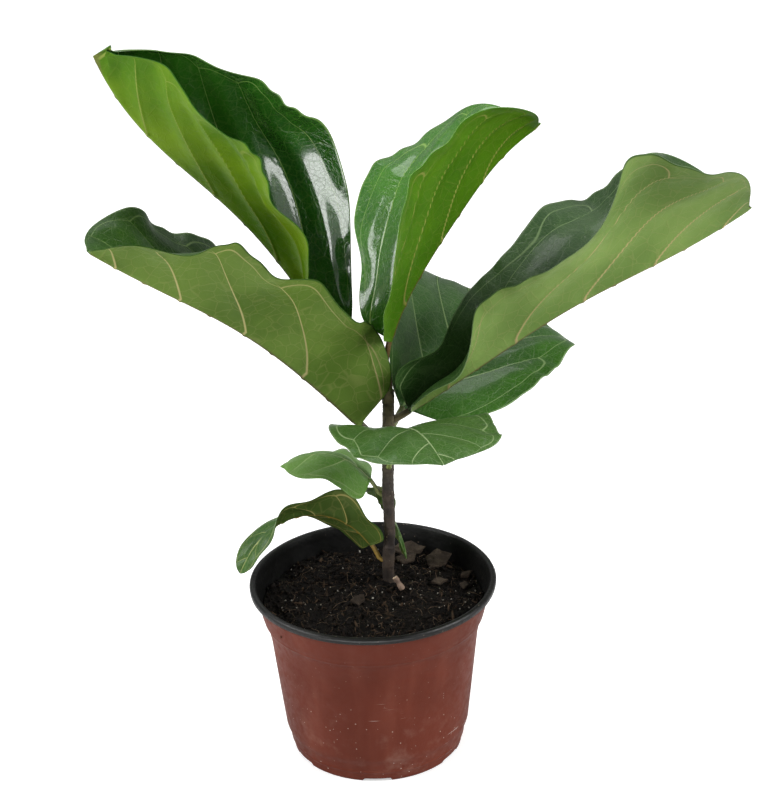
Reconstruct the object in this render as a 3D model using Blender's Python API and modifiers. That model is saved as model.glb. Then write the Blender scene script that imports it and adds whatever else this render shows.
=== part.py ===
"""Potted fiddle leaf fig: a thin two-tone nursery pot, soil, one woody stem and nine large leaves.
Metres, +Z up. The origin is the centre of the pot's flat base."""
import math

import bpy
import mathutils
import numpy as np

# ---- pot ----
RIM_R = 0.0800              # outer radius of the rolled rim
POT_H = 0.1200
BASE_R = 0.0553
WALL = 0.0014
FLOOR = 0.0016
ROLL_H = 0.0046             # the rolled rim's height and width
ROLL_W = 0.0042
BAND_H = 0.0165             # steeper band just under the rim
BAND_STEP = 0.0013
RIDGE = 0.0005              # faint raised rings on the wall
RIDGE_Z = (0.0920, 0.0075)
BAND_R = 0.0748             # wall radius at the foot of the band
ROUND_STEPS = 56
NOTCHES = 6                 # drain notches around the foot
NOTCH_W, NOTCH_H, NOTCH_DEPTH = 0.019, 0.0022, 0.008
NOTCH_TURN = -91.0          # degrees, middle of the first notch

# ---- soil, stem and bud ----
GAP = 0.0004                # clearance between pieces that touch
SOIL_EDGE_Z = 0.1035
SOIL_TOP_Z = 0.1085
STEM_FOOT = (0.0102, 0.0184, 0.0880)
STEM_TOP = (0.0137, 0.0159, 0.2460)
STEM_R = 0.0037
NODE_R = 0.0040             # swelling where a leaf stands
NODE_Z = (0.123, 0.171, 0.193, 0.218, 0.241)
BUD_H = 0.0120
BUD_R = 0.0026
STUB_R, STUB_H = 0.0019, 0.0085
STUB_XY = (0.0193, 0.0050)
STUB_LEAN = (-0.62, 0.15, 0.75)

# ---- bark chips: distance from the pot's centre, azimuth, length, width, thickness,
#      turn about Z, lean about the length ----
CHIPS = (
    (0.0625, 67, 0.022, 0.012, 0.0026, -20, 35),
    (0.0515, 64, 0.016, 0.010, 0.0024, 8, 20),
    (0.0590, 43, 0.017, 0.016, 0.0030, -12, 30),
    (0.0660, 23, 0.012, 0.006, 0.0020, 10, 15),
    (0.0460, 19, 0.010, 0.008, 0.0020, -25, 10),
    (0.0605, 11, 0.008, 0.006, 0.0020, 60, 12),
    (0.0160, -127, 0.012, 0.010, 0.0026, 30, 15),
)

# ---- leaves ----
# height, side: where the stalk leaves the stem, and on which side (degrees from +X)
# heading, climb, roll: the midrib's course in degrees, at equal steps from stalk to tip
# stalk: share of the length without blade; lobe: how far the blade's foot reaches back
# outline: half width at equal steps, as a share of width; fold, curl: how each half stands up
# and bends over, in degrees; wave: the margin's ripples in millimetres
BLADE_T = 0.0009
FINE = {"leaf_top_left", "leaf_centre", "leaf_left", "leaf_right", "leaf_back_right"}
LEAVES = {
    "leaf_top_left": dict(
        height=0.2405, side=161, length=0.287, width=0.104,
        stalk=0.178, stalk_r=0.0022, lobe=0.0086, blunt=6,
        heading=(166, 173, 187, 201), climb=(57, 56, 46, 70), roll=(-10, -28, -25),
        outline=(0.28, 0.48, 0.70, 0.86, 0.94, 0.76, 0.90),
        fold_left=(43, 65, 69, 70, 70), curl_left=(-29, -17, -26, -22),
        wave_left=(0.5, -7, 5.5, -3.5, 5.5, 0, -2.5, 9),
        fold_right=(48, 49, 63, 62, 62), curl_right=(0, 24, 54, 72),
        wave_right=(0, -1, 2.5, -7, 4.5, 2.5, -2.5, 8)),
    "leaf_centre": dict(
        height=0.2465, side=100, length=0.196, width=0.096,
        stalk=0.155, stalk_r=0.0018, lobe=0.0008, blunt=7,
        heading=(24, 22, 25, 28, 25), climb=(94, 64, 51, 45, 24), roll=(6, -1, -4),
        outline=(0.42, 0.52, 0.76, 0.90, 0.88, 0.90, 0.90),
        fold_left=(39, 26, 25, 16, 27), curl_left=(-3, -15, -24, -18),
        wave_left=(2.5, -7, 2, -1.5, 2.5, 0, -5, 2.5),
        fold_right=(54, 58, 63, 63, 43), curl_right=(-26, -22, -14, -17),
        wave_right=(-0.5, -0.5, -0.5, -1.5, 2.5, -3, 3, -2)),
    "leaf_left": dict(
        height=0.2098, side=229, length=0.248, width=0.072,
        stalk=0.082, stalk_r=0.0023, lobe=0.002, blunt=16,
        heading=(187, 198, 207, 215), climb=(51, 46, 36, 39), roll=(0, -4, 4),
        outline=(0.62, 0.73, 0.76, 0.91, 0.84, 0.85, 0.75),
        fold_left=(84, 76, 55, 54, 47), curl_left=(16, 8, -8, -35),
        wave_left=(-1.5, 11.5, -12, 3.5, -6, 6, -7.5, 3),
        fold_right=(35, 28, 26, 39, 25), curl_right=(0, -16, -12, -2),
        wave_right=(0, 0, 0.5, -5, 7.5, -5, 10, -7.5)),
    "leaf_right": dict(
        height=0.2245, side=19, length=0.267, width=0.111,
        stalk=0.035, stalk_r=0.0022, lobe=0.0059, blunt=16,
        heading=(16, 18, 18, 27), climb=(27, 27, 18, 21), roll=(28, -14, 1),
        outline=(0.52, 0.34, 0.41, 0.62, 0.99, 0.92, 1.03),
        fold_left=(61, 50, 35, 21, 33), curl_left=(60, 25, -5, -2),
        wave_left=(-4, 13, -5.5, 0.5, 6, -6, 3.5, 0),
        fold_right=(66, 69, 55, 64, 60), curl_right=(-23, -24, -24, -17),
        wave_right=(-1.5, -9.5, 12.5, 1, -8.5, 7, -6, 2)),
    "leaf_back_right": dict(
        height=0.2179, side=58, length=0.169, width=0.08,
        stalk=0.09, stalk_r=0.002, lobe=0.0051, blunt=16,
        heading=(60, 60, 58, 55), climb=(32, 16, 1, -15), roll=(22, 12, 1),
        outline=(0.56, 0.74, 0.85, 0.91, 0.91, 0.92, 0.84),
        fold_left=(55, 41, 27, 17, 10), curl_left=(37, 19, 2, -11),
        wave_left=(1.5, 1, 0, 0, 0, -0.5, 0.5, -0.5),
        fold_right=(13, 8, 6, 4, -6), curl_right=(-5, -7, -10, -18),
        wave_right=(0.5, 0.5, -1, 1, -1, 1, 0.5, -1)),
    "leaf_front": dict(
        height=0.1928, side=-87, length=0.131, width=0.054,
        stalk=0.22, stalk_r=0.0016, lobe=0.0073, blunt=16,
        heading=(-72, -73, -73, -72, -72), climb=(75, 49, 25, 5, -14), roll=(-5, -4, -1),
        outline=(0.76, 0.84, 0.92, 0.94, 0.90, 0.94, 0.85),
        fold_left=(8, 6, 3, 1, 0), curl_left=(0, -1, -4, -3),
        wave_left=(0, 0, 0, 1, -1.5, -1.5, 0.5, -1),
        fold_right=(16, 6, 0, -2, 1), curl_right=(12, 1, -4, -2),
        wave_right=(1, 0.5, 0, -1, -0.5, -1.5, 1, -1)),
    "leaf_lower_left": dict(
        height=0.1705, side=170, length=0.077, width=0.044,
        stalk=0.16, stalk_r=0.0013, lobe=0.0023, blunt=16,
        heading=(169, 174, 182, 190), climb=(67, 42, 2, -30), roll=(7, 20, 19),
        outline=(0.78, 0.79, 0.85, 0.90, 0.94, 0.94, 0.84),
        fold_left=(-17, -22, -21, -17, -13), curl_left=(-3, -2, 1, 2),
        wave_left=(0, 0, 0, -0.5, 1, 0.5, 0.5, 0.5),
        fold_right=(10, 3, -1, -4, -7), curl_right=(-8, -7, -6, -6),
        wave_right=(-1, -4, 2, -0.5, 0, 0, -0.5, 0)),
    "leaf_arching": dict(
        height=0.1227, side=181, length=0.122, width=0.024,
        stalk=0.1, stalk_r=0.0015, lobe=0.0037, blunt=16,
        heading=(157, 167, 184, 201, 212), climb=(71, 35, -2, -35, -65), roll=(-12, -6, -26),
        outline=(0.89, 0.85, 0.83, 0.70, 0.61, 0.55, 0.53),
        fold_left=(81, 78, 65, 42, 16), curl_left=(-5, -5, -8, -7),
        wave_left=(1, -4, 6.5, -2, 2.5, -4.5, -2, 1),
        fold_right=(-57, -42, -28, -13, 2), curl_right=(-35, -23, -11, 0),
        wave_right=(0.5, 0.5, -0.5, 0.5, 0.5, -0.5, -1.5, 1)),
    "leaf_low_back": dict(
        height=0.172, side=119, length=0.076, width=0.0115,
        stalk=0.16, stalk_r=0.0012, lobe=0.0, blunt=16,
        heading=(140, 80, 10, -10, -20), climb=(10, -52, -66, -70, -72), roll=(0, -8, -15),
        outline=(0.80, 1.00, 1.10, 1.05, 0.90, 0.75, 0.55),
        fold_left=(15, 12, 10, 8, 8), curl_left=(0, 0, 0, 0),
        wave_left=(0, 1, -1, 1, 0, 0, 0, 0),
        fold_right=(10, 10, 10, 10, 10), curl_right=(-10, -5, 0, 0),
        wave_right=(0, -1, 1.5, -1, 1, 0, 0, 0)),
}


def smooth(values, u):
    """Smooth curve through equally spaced values, read at u in 0..1."""
    v = np.asarray(values, float)
    n = len(v) - 1
    pts = np.concatenate([[2 * v[0] - v[1]], v, [2 * v[-1] - v[-2]]])
    x = np.clip(u, 0, 1) * n
    i = np.minimum(x.astype(int), n - 1)
    t = x - i
    a, b, c, d = pts[i], pts[i + 1], pts[i + 2], pts[i + 3]
    return b + 0.5 * t * (c - a + t * (2 * a - 5 * b + 4 * c - d + t * (3 * (b - c) + d - a)))


def stem_axis(z):
    """Centre of the leaning stem at height z."""
    foot, top = np.array(STEM_FOOT), np.array(STEM_TOP)
    return foot + (top - foot) * (z - foot[2]) / (top[2] - foot[2])


def unit(vectors):
    return vectors / np.linalg.norm(vectors, axis=-1, keepdims=True)


def midrib(leaf, u):
    """Points of the midrib at u, with its forward, left and up directions."""
    fine = np.linspace(0, 1, 201)
    turn = np.radians(smooth(leaf["heading"], fine))
    rise = np.radians(smooth(leaf["climb"], fine))
    forward = np.stack([np.cos(rise) * np.cos(turn), np.cos(rise) * np.sin(turn), np.sin(rise)], -1)
    steps = np.cumsum((forward[1:] + forward[:-1]) / 2, 0) * leaf["length"] / 200
    side = math.radians(leaf["side"])
    reach = NODE_R + GAP + leaf["stalk_r"] * abs(math.sin(rise[0]))
    foot = stem_axis(leaf["height"]) + reach * np.array([math.cos(side), math.sin(side), 0])
    path = foot + np.concatenate([[np.zeros(3)], steps])
    at = lambda a: np.stack([np.interp(u, fine, a[:, k]) for k in range(3)], -1)
    centre, ahead = at(path), unit(at(forward))
    turn = np.interp(u, fine, turn)
    level = np.stack([-np.sin(turn), np.cos(turn), 0 * turn], -1)
    above = np.cross(ahead, level)
    roll = np.radians(smooth(leaf["roll"], u))[:, None]
    left = np.cos(roll) * level + np.sin(roll) * above
    return centre, ahead, left, np.cos(roll) * above - np.sin(roll) * level


def half_blade(leaf, u, v, which, sign):
    """Upper skin of one half: v (one row for each u) runs from midrib 0 to margin 1.
    The half leaves the midrib at its fold angle and bends by its curl; the wave lifts the margin."""
    centre, ahead, left, up = midrib(leaf, u)
    b = np.clip((u - leaf["stalk"]) / (1 - leaf["stalk"]), 0, 1)
    ends = np.sqrt(np.clip(1 - b ** 8, 0, 1)) * np.sqrt(np.clip(1 - (1 - b) ** leaf["blunt"], 0, 1))
    width = (leaf["width"] * smooth(leaf["outline"], b) * ends)[:, None]
    fold = np.radians(smooth(leaf["fold_" + which], b))[:, None]
    curl = np.radians(smooth(leaf["curl_" + which], b))[:, None]
    chord = width * v * np.sinc(curl * v / 2 / math.pi)
    lean, slope = fold + curl * v / 2, fold + curl * v
    ease = np.clip(b / 0.15, 0, 1)
    ease = (ease * ease * (3 - 2 * ease) * ends)[:, None]
    lift = smooth(leaf["wave_" + which], b)[:, None] / 1000 * v ** 2 * ease
    back = leaf["lobe"] * v * np.exp(-(b[:, None] / 0.10) ** 2) * (ends[:, None] > 0)
    place = lambda a, d: a[..., None] * d[:, None]
    skin = centre[:, None] + place(sign * np.cos(lean) * chord - sign * np.sin(slope) * lift, left)
    skin = skin + place(np.sin(lean) * chord + np.cos(slope) * lift, up) - place(back, ahead)
    normal = place(-sign * np.sin(slope), left) + place(np.cos(slope), up)
    outward = place(sign * np.cos(slope), left) + place(np.sin(slope), up)
    along = np.gradient(lift, axis=0) / np.gradient(u)[:, None] / leaf["length"]
    across = 2 * lift / np.maximum(width * v, 0.003)
    return skin, unit(normal - place(along, ahead) - across[..., None] * outward)


def leaf_stations(leaf, stalk_rings, blade_rings):
    """Values of u: even along the stalk, closer together at both ends of the blade."""
    t = np.linspace(0, 1, blade_rings)
    b = 0.004 + 0.9955 * (0.6 * t + 0.4 * (0.5 - 0.5 * np.cos(math.pi * t)))
    stalk = np.linspace(0, 0.97, stalk_rings) * leaf["stalk"]
    return np.concatenate([stalk, leaf["stalk"] + b * (1 - leaf["stalk"])])


def leaf_rings(leaf, strips, blade_rings, stalk_rings):
    """Closed cross-sections from the round stalk to the thin folded blade with its midrib below."""
    u = leaf_stations(leaf, stalk_rings, blade_rings)
    centre, _, left, up = midrib(leaf, u)
    b = np.clip((u - leaf["stalk"]) / (1 - leaf["stalk"]), 0, 1)
    rib = leaf["stalk_r"] * (1 - 0.82 * b)
    width = np.maximum(leaf["width"] * smooth(leaf["outline"], b), 0.004)
    v = np.linspace(0, 1, strips + 1)[None] * np.ones((len(u), 1))
    v[:, 1] = np.minimum(1.6 * rib / width, 0.6 / strips)
    top, under = {}, {}
    for which, sign in (("left", 1), ("right", -1)):
        skin, normal = half_blade(leaf, u, v, which, sign)
        top[which] = skin
        under[which] = skin - normal * BLADE_T
    under["left"][:, 0] = centre - up * (BLADE_T + 1.1 * rib)[:, None]
    upper = np.concatenate([top["left"][:, ::-1], top["right"][:, 1:]], 1)
    lower = np.concatenate([under["right"][:, :0:-1], under["left"]], 1)
    ring = np.concatenate([upper, lower], 1)
    count = ring.shape[1]
    angle = (np.arange(count) + 0.5) * 2 * math.pi / count
    circle = (np.cos(angle)[None, :, None] * left[:, None]
              + np.sin(angle)[None, :, None] * up[:, None]) * rib[:, None, None]
    circle = centre[:, None] + circle
    blend = np.clip(b / 0.03, 0, 1)[:, None, None]
    return circle * (1 - blend) + ring * blend


def material(name, colour, roughness, metallic=0.0):
    """Principled material, made once."""
    found = bpy.data.materials.get(name)
    if found:
        return found
    made = bpy.data.materials.new(name)
    made.use_nodes = True
    shader = made.node_tree.nodes["Principled BSDF"]
    shader.inputs["Base Color"].default_value = (*colour, 1.0)
    shader.inputs["Roughness"].default_value = roughness
    shader.inputs["Metallic"].default_value = metallic
    made.diffuse_color = (*colour, 1.0)
    return made


def plastic():
    return material("terracotta_plastic", (0.27, 0.075, 0.045), 0.5)


def earth():
    return material("soil", (0.018, 0.012, 0.009), 0.95)


def bark():
    return material("bark", (0.11, 0.055, 0.03), 0.85)


def foliage():
    return material("leaf", (0.05, 0.16, 0.03), 0.35)


def cut_wood():
    return material("cut_wood", (0.42, 0.27, 0.19), 0.8)


def add_object(name, data, surface, parent, smooth_shading=True):
    """Link a mesh or curve as one named sub-part."""
    item = bpy.data.objects.new(name, data)
    parent.users_collection[0].objects.link(item)
    item.parent = parent
    data.materials.append(surface)
    if smooth_shading and isinstance(data, bpy.types.Mesh):
        data.shade_smooth()
    return item


def turned(name, profile, surface, parent):
    """A profile of (radius, height) turned about Z."""
    mesh = bpy.data.meshes.new(name)
    mesh.from_pydata([(r, 0, z) for r, z in profile], [(i, i + 1) for i in range(len(profile) - 1)], [])
    item = add_object(name, mesh, surface, parent)
    screw = item.modifiers.new("turn", "SCREW")
    screw.steps = screw.render_steps = ROUND_STEPS
    screw.use_merge_vertices = True
    screw.merge_threshold = 0.00002
    screw.use_smooth_shade = True
    return item


def wall_radius(z):
    """Outer radius of the pot's wall under the rim roll."""
    band_foot = POT_H - ROLL_H - BAND_H
    if z >= band_foot:
        return BAND_R + BAND_STEP + (z - band_foot) * 0.04
    return BASE_R + (BAND_R - BASE_R) * min(1.0, z / (band_foot - BAND_STEP))


def pot_profile():
    """From the inner floor up the inside, over the rolled rim and down the outside."""
    band_foot = POT_H - ROLL_H - BAND_H
    roll_foot = POT_H - ROLL_H
    inside = [(0, FLOOR), (wall_radius(FLOOR) - WALL, FLOOR)]
    inside += [(wall_radius(z) - WALL, z) for z in (0.050, band_foot - BAND_STEP, band_foot, roll_foot)]
    mid_r, mid_z = RIM_R - ROLL_W / 2, POT_H - ROLL_W / 2
    roll = []
    for degrees in (150, 115, 80, 45, 10, -25):
        a = math.radians(degrees)
        roll.append((mid_r + ROLL_W / 2 * math.cos(a), mid_z + ROLL_W / 2 * math.sin(a)))
    outside = [(RIM_R - 0.0004, roll_foot + 0.0002), (wall_radius(roll_foot), roll_foot)]
    outside += [(wall_radius(band_foot), band_foot), (BAND_R, band_foot - BAND_STEP)]
    for z in RIDGE_Z:
        outside += [(wall_radius(z + 0.0016), z + 0.0016), (wall_radius(z) + RIDGE, z),
                    (wall_radius(z - 0.0016), z - 0.0016)]
    return inside + roll + outside + [(BASE_R, 0.0008), (BASE_R - 0.0008, 0), (0, 0)]


def cut(item, cutter):
    """Take the cutter away from the item."""
    tools = bpy.data.collections.get("cutters")
    if not tools:
        tools = bpy.data.collections.new("cutters")
        bpy.context.scene.collection.children.link(tools)
    for home in list(cutter.users_collection):
        home.objects.unlink(cutter)
    tools.objects.link(cutter)
    cutter.hide_render = True
    cutter.display_type = "WIRE"
    step = item.modifiers.new("cut", "BOOLEAN")
    step.operation = "DIFFERENCE"
    step.solver = "EXACT"
    step.object = cutter


def make_pot(parent):
    """Thin pot with a rolled rim, a steeper band under it and wide shallow drain notches."""
    pot = turned("pot", pot_profile(), plastic(), parent)
    for k in range(NOTCHES):
        a = math.radians(NOTCH_TURN + 360 / NOTCHES * k)
        r = BASE_R + 0.004 - NOTCH_DEPTH / 2
        bpy.ops.mesh.primitive_cube_add(size=1, location=(r * math.cos(a), r * math.sin(a), 0),
                                        rotation=(0, 0, a))
        cutter = bpy.context.object
        cutter.name = f"notch_cutter_{k}"
        cutter.scale = (NOTCH_DEPTH, NOTCH_W, 2 * NOTCH_H)
        cut(pot, cutter)


def soil_height(r):
    """Gently domed top of the soil."""
    edge = wall_radius(SOIL_EDGE_Z) - WALL - GAP
    return SOIL_EDGE_Z + (SOIL_TOP_Z - SOIL_EDGE_Z) * (0.5 + 0.5 * math.cos(math.pi * min(1, r / edge)))


def make_soil(parent):
    """Soil that fills the pot, with a socket for the stem."""
    band_foot = POT_H - ROLL_H - BAND_H
    skin = WALL + GAP
    radii = [wall_radius(SOIL_EDGE_Z) - skin - k * 0.012 for k in range(6)]
    profile = [(0, SOIL_TOP_Z)] + [(r, soil_height(r)) for r in reversed(radii)]
    profile += [(wall_radius(z) - skin, z) for z in (band_foot, band_foot - BAND_STEP - GAP, 0.050)]
    profile += [(wall_radius(FLOOR) - skin - 0.0005, FLOOR + GAP), (0, FLOOR + GAP)]
    soil = turned("soil", profile, earth(), parent)
    foot = stem_axis(STEM_FOOT[2] - GAP)
    top = stem_axis(SOIL_TOP_Z + 0.010)
    lean = top - foot
    length = float(np.linalg.norm(lean))
    bpy.ops.mesh.primitive_cylinder_add(vertices=20, radius=STEM_R + 1.5 * GAP, depth=length,
                                        location=tuple((foot + top) / 2),
                                        rotation=(-math.asin(lean[1] / length), math.asin(lean[0] / length), 0))
    socket = bpy.context.object
    socket.name = "stem_socket_cutter"
    cut(soil, socket)


def make_stem(parent):
    """Woody stem: a tapered tube that swells where leaves stand."""
    heights = [STEM_FOOT[2], 0.100, 0.108]
    for z in NODE_Z:
        heights += [z - 0.006, z, z + 0.004]
    heights.append(STEM_TOP[2])
    heights = sorted({round(min(z, STEM_TOP[2]), 5) for z in heights})
    curve = bpy.data.curves.new("stem", "CURVE")
    curve.dimensions = "3D"
    curve.bevel_depth = STEM_R
    curve.bevel_resolution = 2
    curve.use_fill_caps = True
    spline = curve.splines.new("POLY")
    spline.points.add(len(heights) - 1)
    for point, z in zip(spline.points, heights):
        point.co = (*stem_axis(z), 1)
        near = min(abs(z - node) for node in NODE_Z)
        point.radius = NODE_R / STEM_R if near < 0.0005 else 1.0
    add_object("stem", curve, bark(), parent)


def make_bud(parent):
    """Dry sheath of the resting bud at the stem's tip."""
    base = stem_axis(STEM_TOP[2] + GAP)
    bpy.ops.mesh.primitive_cone_add(vertices=14, radius1=BUD_R, radius2=BUD_R * 0.18, depth=BUD_H,
                                    location=(base[0], base[1], base[2] + BUD_H / 2))
    bud = bpy.context.object
    adopt(bud, "bud_sheath", bark(), parent)


def adopt(item, name, surface, parent):
    """Name a primitive, give it its material and put it with the plant."""
    item.name = name
    item.data.name = name
    item.data.materials.clear()
    item.data.materials.append(surface)
    for home in list(item.users_collection):
        home.objects.unlink(item)
    parent.users_collection[0].objects.link(item)
    item.parent = parent


def make_stub(parent):
    """Short pruned side shoot beside the stem's foot."""
    x, y = STUB_XY
    lean = mathutils.Vector(STUB_LEAN).normalized()
    z = soil_height(math.hypot(x, y)) + GAP + STUB_R
    middle = mathutils.Vector((x, y, z)) + lean * STUB_H / 2
    bpy.ops.mesh.primitive_cone_add(vertices=12, radius1=STUB_R, radius2=STUB_R * 0.8, depth=STUB_H,
                                    location=middle, rotation=lean.to_track_quat("Z", "Y").to_euler())
    adopt(bpy.context.object, "pruned_stub", cut_wood(), parent)


def make_chips(parent):
    """Flat bark chips that lie on the soil."""
    for k, (r, azimuth, length, width, thick, turn, tilt) in enumerate(CHIPS, 1):
        a = math.radians(azimuth)
        lean = math.radians(tilt)
        lift = (width * math.sin(lean) + thick * math.cos(lean)) / 2
        z = soil_height(max(0.0, r - length / 2)) + GAP + lift
        bpy.ops.mesh.primitive_cube_add(size=1, location=(r * math.cos(a), r * math.sin(a), z),
                                        rotation=(lean, 0, math.radians(turn)))
        chip = bpy.context.object
        chip.scale = (length, width, thick)
        bpy.ops.object.transform_apply(location=False, rotation=False, scale=True)
        adopt(chip, f"bark_chip_{k}", bark(), parent)
        bevel = chip.modifiers.new("worn_edges", "BEVEL")
        bevel.width = thick * 0.3
        bevel.segments = 1


def make_leaf(name, leaf, parent):
    """One leaf grown as one piece: a loft from its round stalk to the folded, rippled blade."""
    strips, blade_rings = (4, 21) if name in FINE else (3, 15)
    rings = leaf_rings(leaf, strips, blade_rings, 5)
    total, count = rings.shape[:2]
    faces = []
    for i in range(total - 1):
        for k in range(count):
            n = (k + 1) % count
            a, b, c, d = i * count + k, i * count + n, (i + 1) * count + n, (i + 1) * count + k
            # above and below are split along the same diagonal, so the blade keeps its thickness
            if k < count // 2:
                faces += [(a, b, c), (a, c, d)]
            else:
                faces += [(a, b, d), (b, c, d)]
    last = (total - 1) * count
    for k in range(count // 2 - 1):
        faces.append((k, count - 1 - k, count - 2 - k, k + 1))
        faces.append((last + k + 1, last + count - 2 - k, last + count - 1 - k, last + k))
    mesh = bpy.data.meshes.new(name)
    mesh.from_pydata([tuple(p) for p in rings.reshape(-1, 3)], [], faces)
    add_object(name, mesh, foliage(), parent)


def build():
    for item in list(bpy.data.objects):
        bpy.data.objects.remove(item, do_unlink=True)
    plant = bpy.data.collections.new("potted_fiddle_leaf_fig")
    bpy.context.scene.collection.children.link(plant)
    root = bpy.data.objects.new("plant_root", None)
    plant.objects.link(root)
    make_pot(root)
    make_soil(root)
    make_stem(root)
    make_bud(root)
    make_stub(root)
    make_chips(root)
    for name, leaf in LEAVES.items():
        make_leaf(name, leaf, root)


build()
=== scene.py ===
# Potted fiddle leaf fig: the finished look of every piece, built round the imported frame. Metres, +Z up.
import math

import bpy
import numpy as np
from mathutils import Matrix, Vector


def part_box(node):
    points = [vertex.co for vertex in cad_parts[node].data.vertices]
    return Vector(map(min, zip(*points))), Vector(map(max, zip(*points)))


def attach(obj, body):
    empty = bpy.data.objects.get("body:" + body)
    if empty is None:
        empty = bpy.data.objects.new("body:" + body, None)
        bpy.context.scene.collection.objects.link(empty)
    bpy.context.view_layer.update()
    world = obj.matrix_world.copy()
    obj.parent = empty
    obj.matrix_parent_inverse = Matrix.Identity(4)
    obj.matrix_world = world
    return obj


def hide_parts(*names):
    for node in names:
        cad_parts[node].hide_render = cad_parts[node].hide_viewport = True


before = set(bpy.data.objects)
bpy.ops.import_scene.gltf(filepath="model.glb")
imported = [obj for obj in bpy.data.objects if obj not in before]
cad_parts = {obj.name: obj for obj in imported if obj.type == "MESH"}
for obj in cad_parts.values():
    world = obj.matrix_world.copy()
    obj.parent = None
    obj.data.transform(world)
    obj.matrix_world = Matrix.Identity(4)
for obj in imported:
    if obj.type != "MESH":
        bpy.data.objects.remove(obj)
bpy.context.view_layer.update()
print("frame loaded:", len(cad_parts), "nodes")


def smoothCurve(values, u):
    # a smooth curve through equally spaced values, read at u from 0 to 1 (Catmull-Rom)
    v = np.asarray(values, float)
    n = len(v) - 1
    points = np.concatenate([[2 * v[0] - v[1]], v, [2 * v[-1] - v[-2]]])
    x = np.clip(u, 0, 1) * n
    i = np.minimum(x.astype(int), n - 1)
    t = x - i
    a, b, c, d = points[i], points[i + 1], points[i + 2], points[i + 3]
    return b + 0.5 * t * (c - a + t * (2 * a - 5 * b + 4 * c - d + t * (3 * (b - c) + d - a)))


def easeStep(x):
    # 0 below 0, 1 above 1, and a smooth S between
    x = np.clip(x, 0, 1)
    return x * x * (3 - 2 * x)


def bell(x):
    return np.exp(-x * x)


def unitRows(vectors):
    return vectors / np.maximum(np.linalg.norm(vectors, axis=-1, keepdims=True), 1e-12)


def latticeNoise(points, size, seed=0):
    # value noise from -1 to 1: random numbers on a lattice of this cell size, smoothly mixed
    q = np.asarray(points, float) / size
    cell = np.floor(q).astype(np.int64)
    f = q - cell
    f = f * f * (3 - 2 * f)
    total = 0
    for corner in range(8):
        step = np.array([corner & 1, corner >> 1 & 1, corner >> 2 & 1])
        key = ((cell + step) * np.array([73856093, 19349663, 83492791])).sum(-1) + seed * 7919
        key = (key ^ (key >> 13)) * 1274126177 & 0x7FFFFFFF
        key = (key ^ (key >> 15)) * 668265263 & 0x7FFFFFFF
        weight = np.prod(np.where(step, f, 1 - f), -1)
        total = total + weight * (key / 0x3FFFFFFF - 1)
    return total


def roughNoise(points, size, layers=4, seed=0):
    # layers of lattice noise, each half the size and half the height of the one before
    return sum(latticeNoise(points, size / 2 ** k, seed + k) / 2 ** k for k in range(layers))


def gridFaces(rows, columns, wrap=False):
    # quads of a grid of points, wrapped round its columns if asked
    i, k = np.meshgrid(np.arange(rows - 1), np.arange(columns if wrap else columns - 1), indexing="ij")
    n = (k + 1) % columns
    return np.stack([i * columns + k, i * columns + n, (i + 1) * columns + n, (i + 1) * columns + k], -1)


def fullTurn(count):
    # even steps once round, in radians
    return np.arange(count) * 2 * math.pi / count


def byRow(values, columns):
    # one value for each row of a grid, repeated along the row
    return np.repeat(np.asarray(values)[:, None], columns, 1)


def closedGrid(rows, columns):
    # a wrapped grid that faces outwards, with a fan to a pole before its first row and one after its last
    faces = gridFaces(rows, columns, wrap=True)[:, :, ::-1].reshape(-1, 4).tolist()
    first, base = rows * columns, (rows - 1) * columns
    faces += [(first, k, (k + 1) % columns) for k in range(columns)]
    return faces + [(first + 1, base + (k + 1) % columns, base + k) for k in range(columns)]


def makePiece(name, points, faces, materials, node=None, finishOf=None, facts=None, plan=None):
    # one mesh piece in place: the node it stands for, its faces' materials, its vertex facts and its UV plan
    mesh = bpy.data.meshes.new(name)
    mesh.from_pydata(np.asarray(points).tolist(), [], [list(f) for f in faces])
    for material in materials:
        mesh.materials.append(material)
    if finishOf is not None:
        mesh.polygons.foreach_set("material_index", np.asarray(finishOf, np.int32))
    for key, values in (facts or {}).items():
        layer = mesh.attributes.new(key, "FLOAT", "POINT")
        layer.data.foreach_set("value", np.asarray(values, np.float32).ravel())
    if plan is not None:
        corner = np.empty(len(mesh.loops), np.int32)
        mesh.loops.foreach_get("vertex_index", corner)
        layer = mesh.uv_layers.new(name="plan")
        layer.data.foreach_set("uv", np.asarray(plan, np.float32)[corner].ravel())
    mesh.shade_smooth()
    mesh.update()
    piece = bpy.data.objects.new(name, mesh)
    bpy.context.scene.collection.objects.link(piece)
    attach(piece, "root")
    if node:
        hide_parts(node)


def tubeFaces(rings, sides):
    # side faces of a tube, and one polygon over each end
    side = gridFaces(rings, sides, wrap=True).reshape(-1, 4).tolist()
    last = (rings - 1) * sides
    return side + [list(range(sides))[::-1]] + [[last + k for k in range(sides)]]


def tubeAlong(path, radius, sides):
    # a circle carried along the path; its first direction is turned as little as possible
    path = np.asarray(path, float)
    ahead = unitRows(np.gradient(path, axis=0))
    start = np.array([1.0, 0, 0]) if abs(ahead[0][0]) < 0.9 else np.array([0, 1.0, 0])
    left = unitRows(start - ahead * (ahead @ start)[:, None])
    up = np.cross(ahead, left)
    angle = fullTurn(sides)
    ring = np.cos(angle)[None, :, None] * left[:, None] + np.sin(angle)[None, :, None] * up[:, None]
    return path[:, None] + ring * np.asarray(radius)[..., None].reshape(len(path), -1, 1)


def join(tree, value, socket):
    if isinstance(value, bpy.types.NodeSocket):
        tree.links.new(value, socket)
    elif socket.type == "RGBA" and len(value) == 3:
        socket.default_value = (*value, 1)
    else:
        socket.default_value = value


def addNode(tree, kind, sockets=None, **settings):
    node = tree.nodes.new(kind)
    for key, value in settings.items():
        setattr(node, key, value)
    for key, value in (sockets or {}).items():
        join(tree, value, node.inputs[key])
    return node


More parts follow.
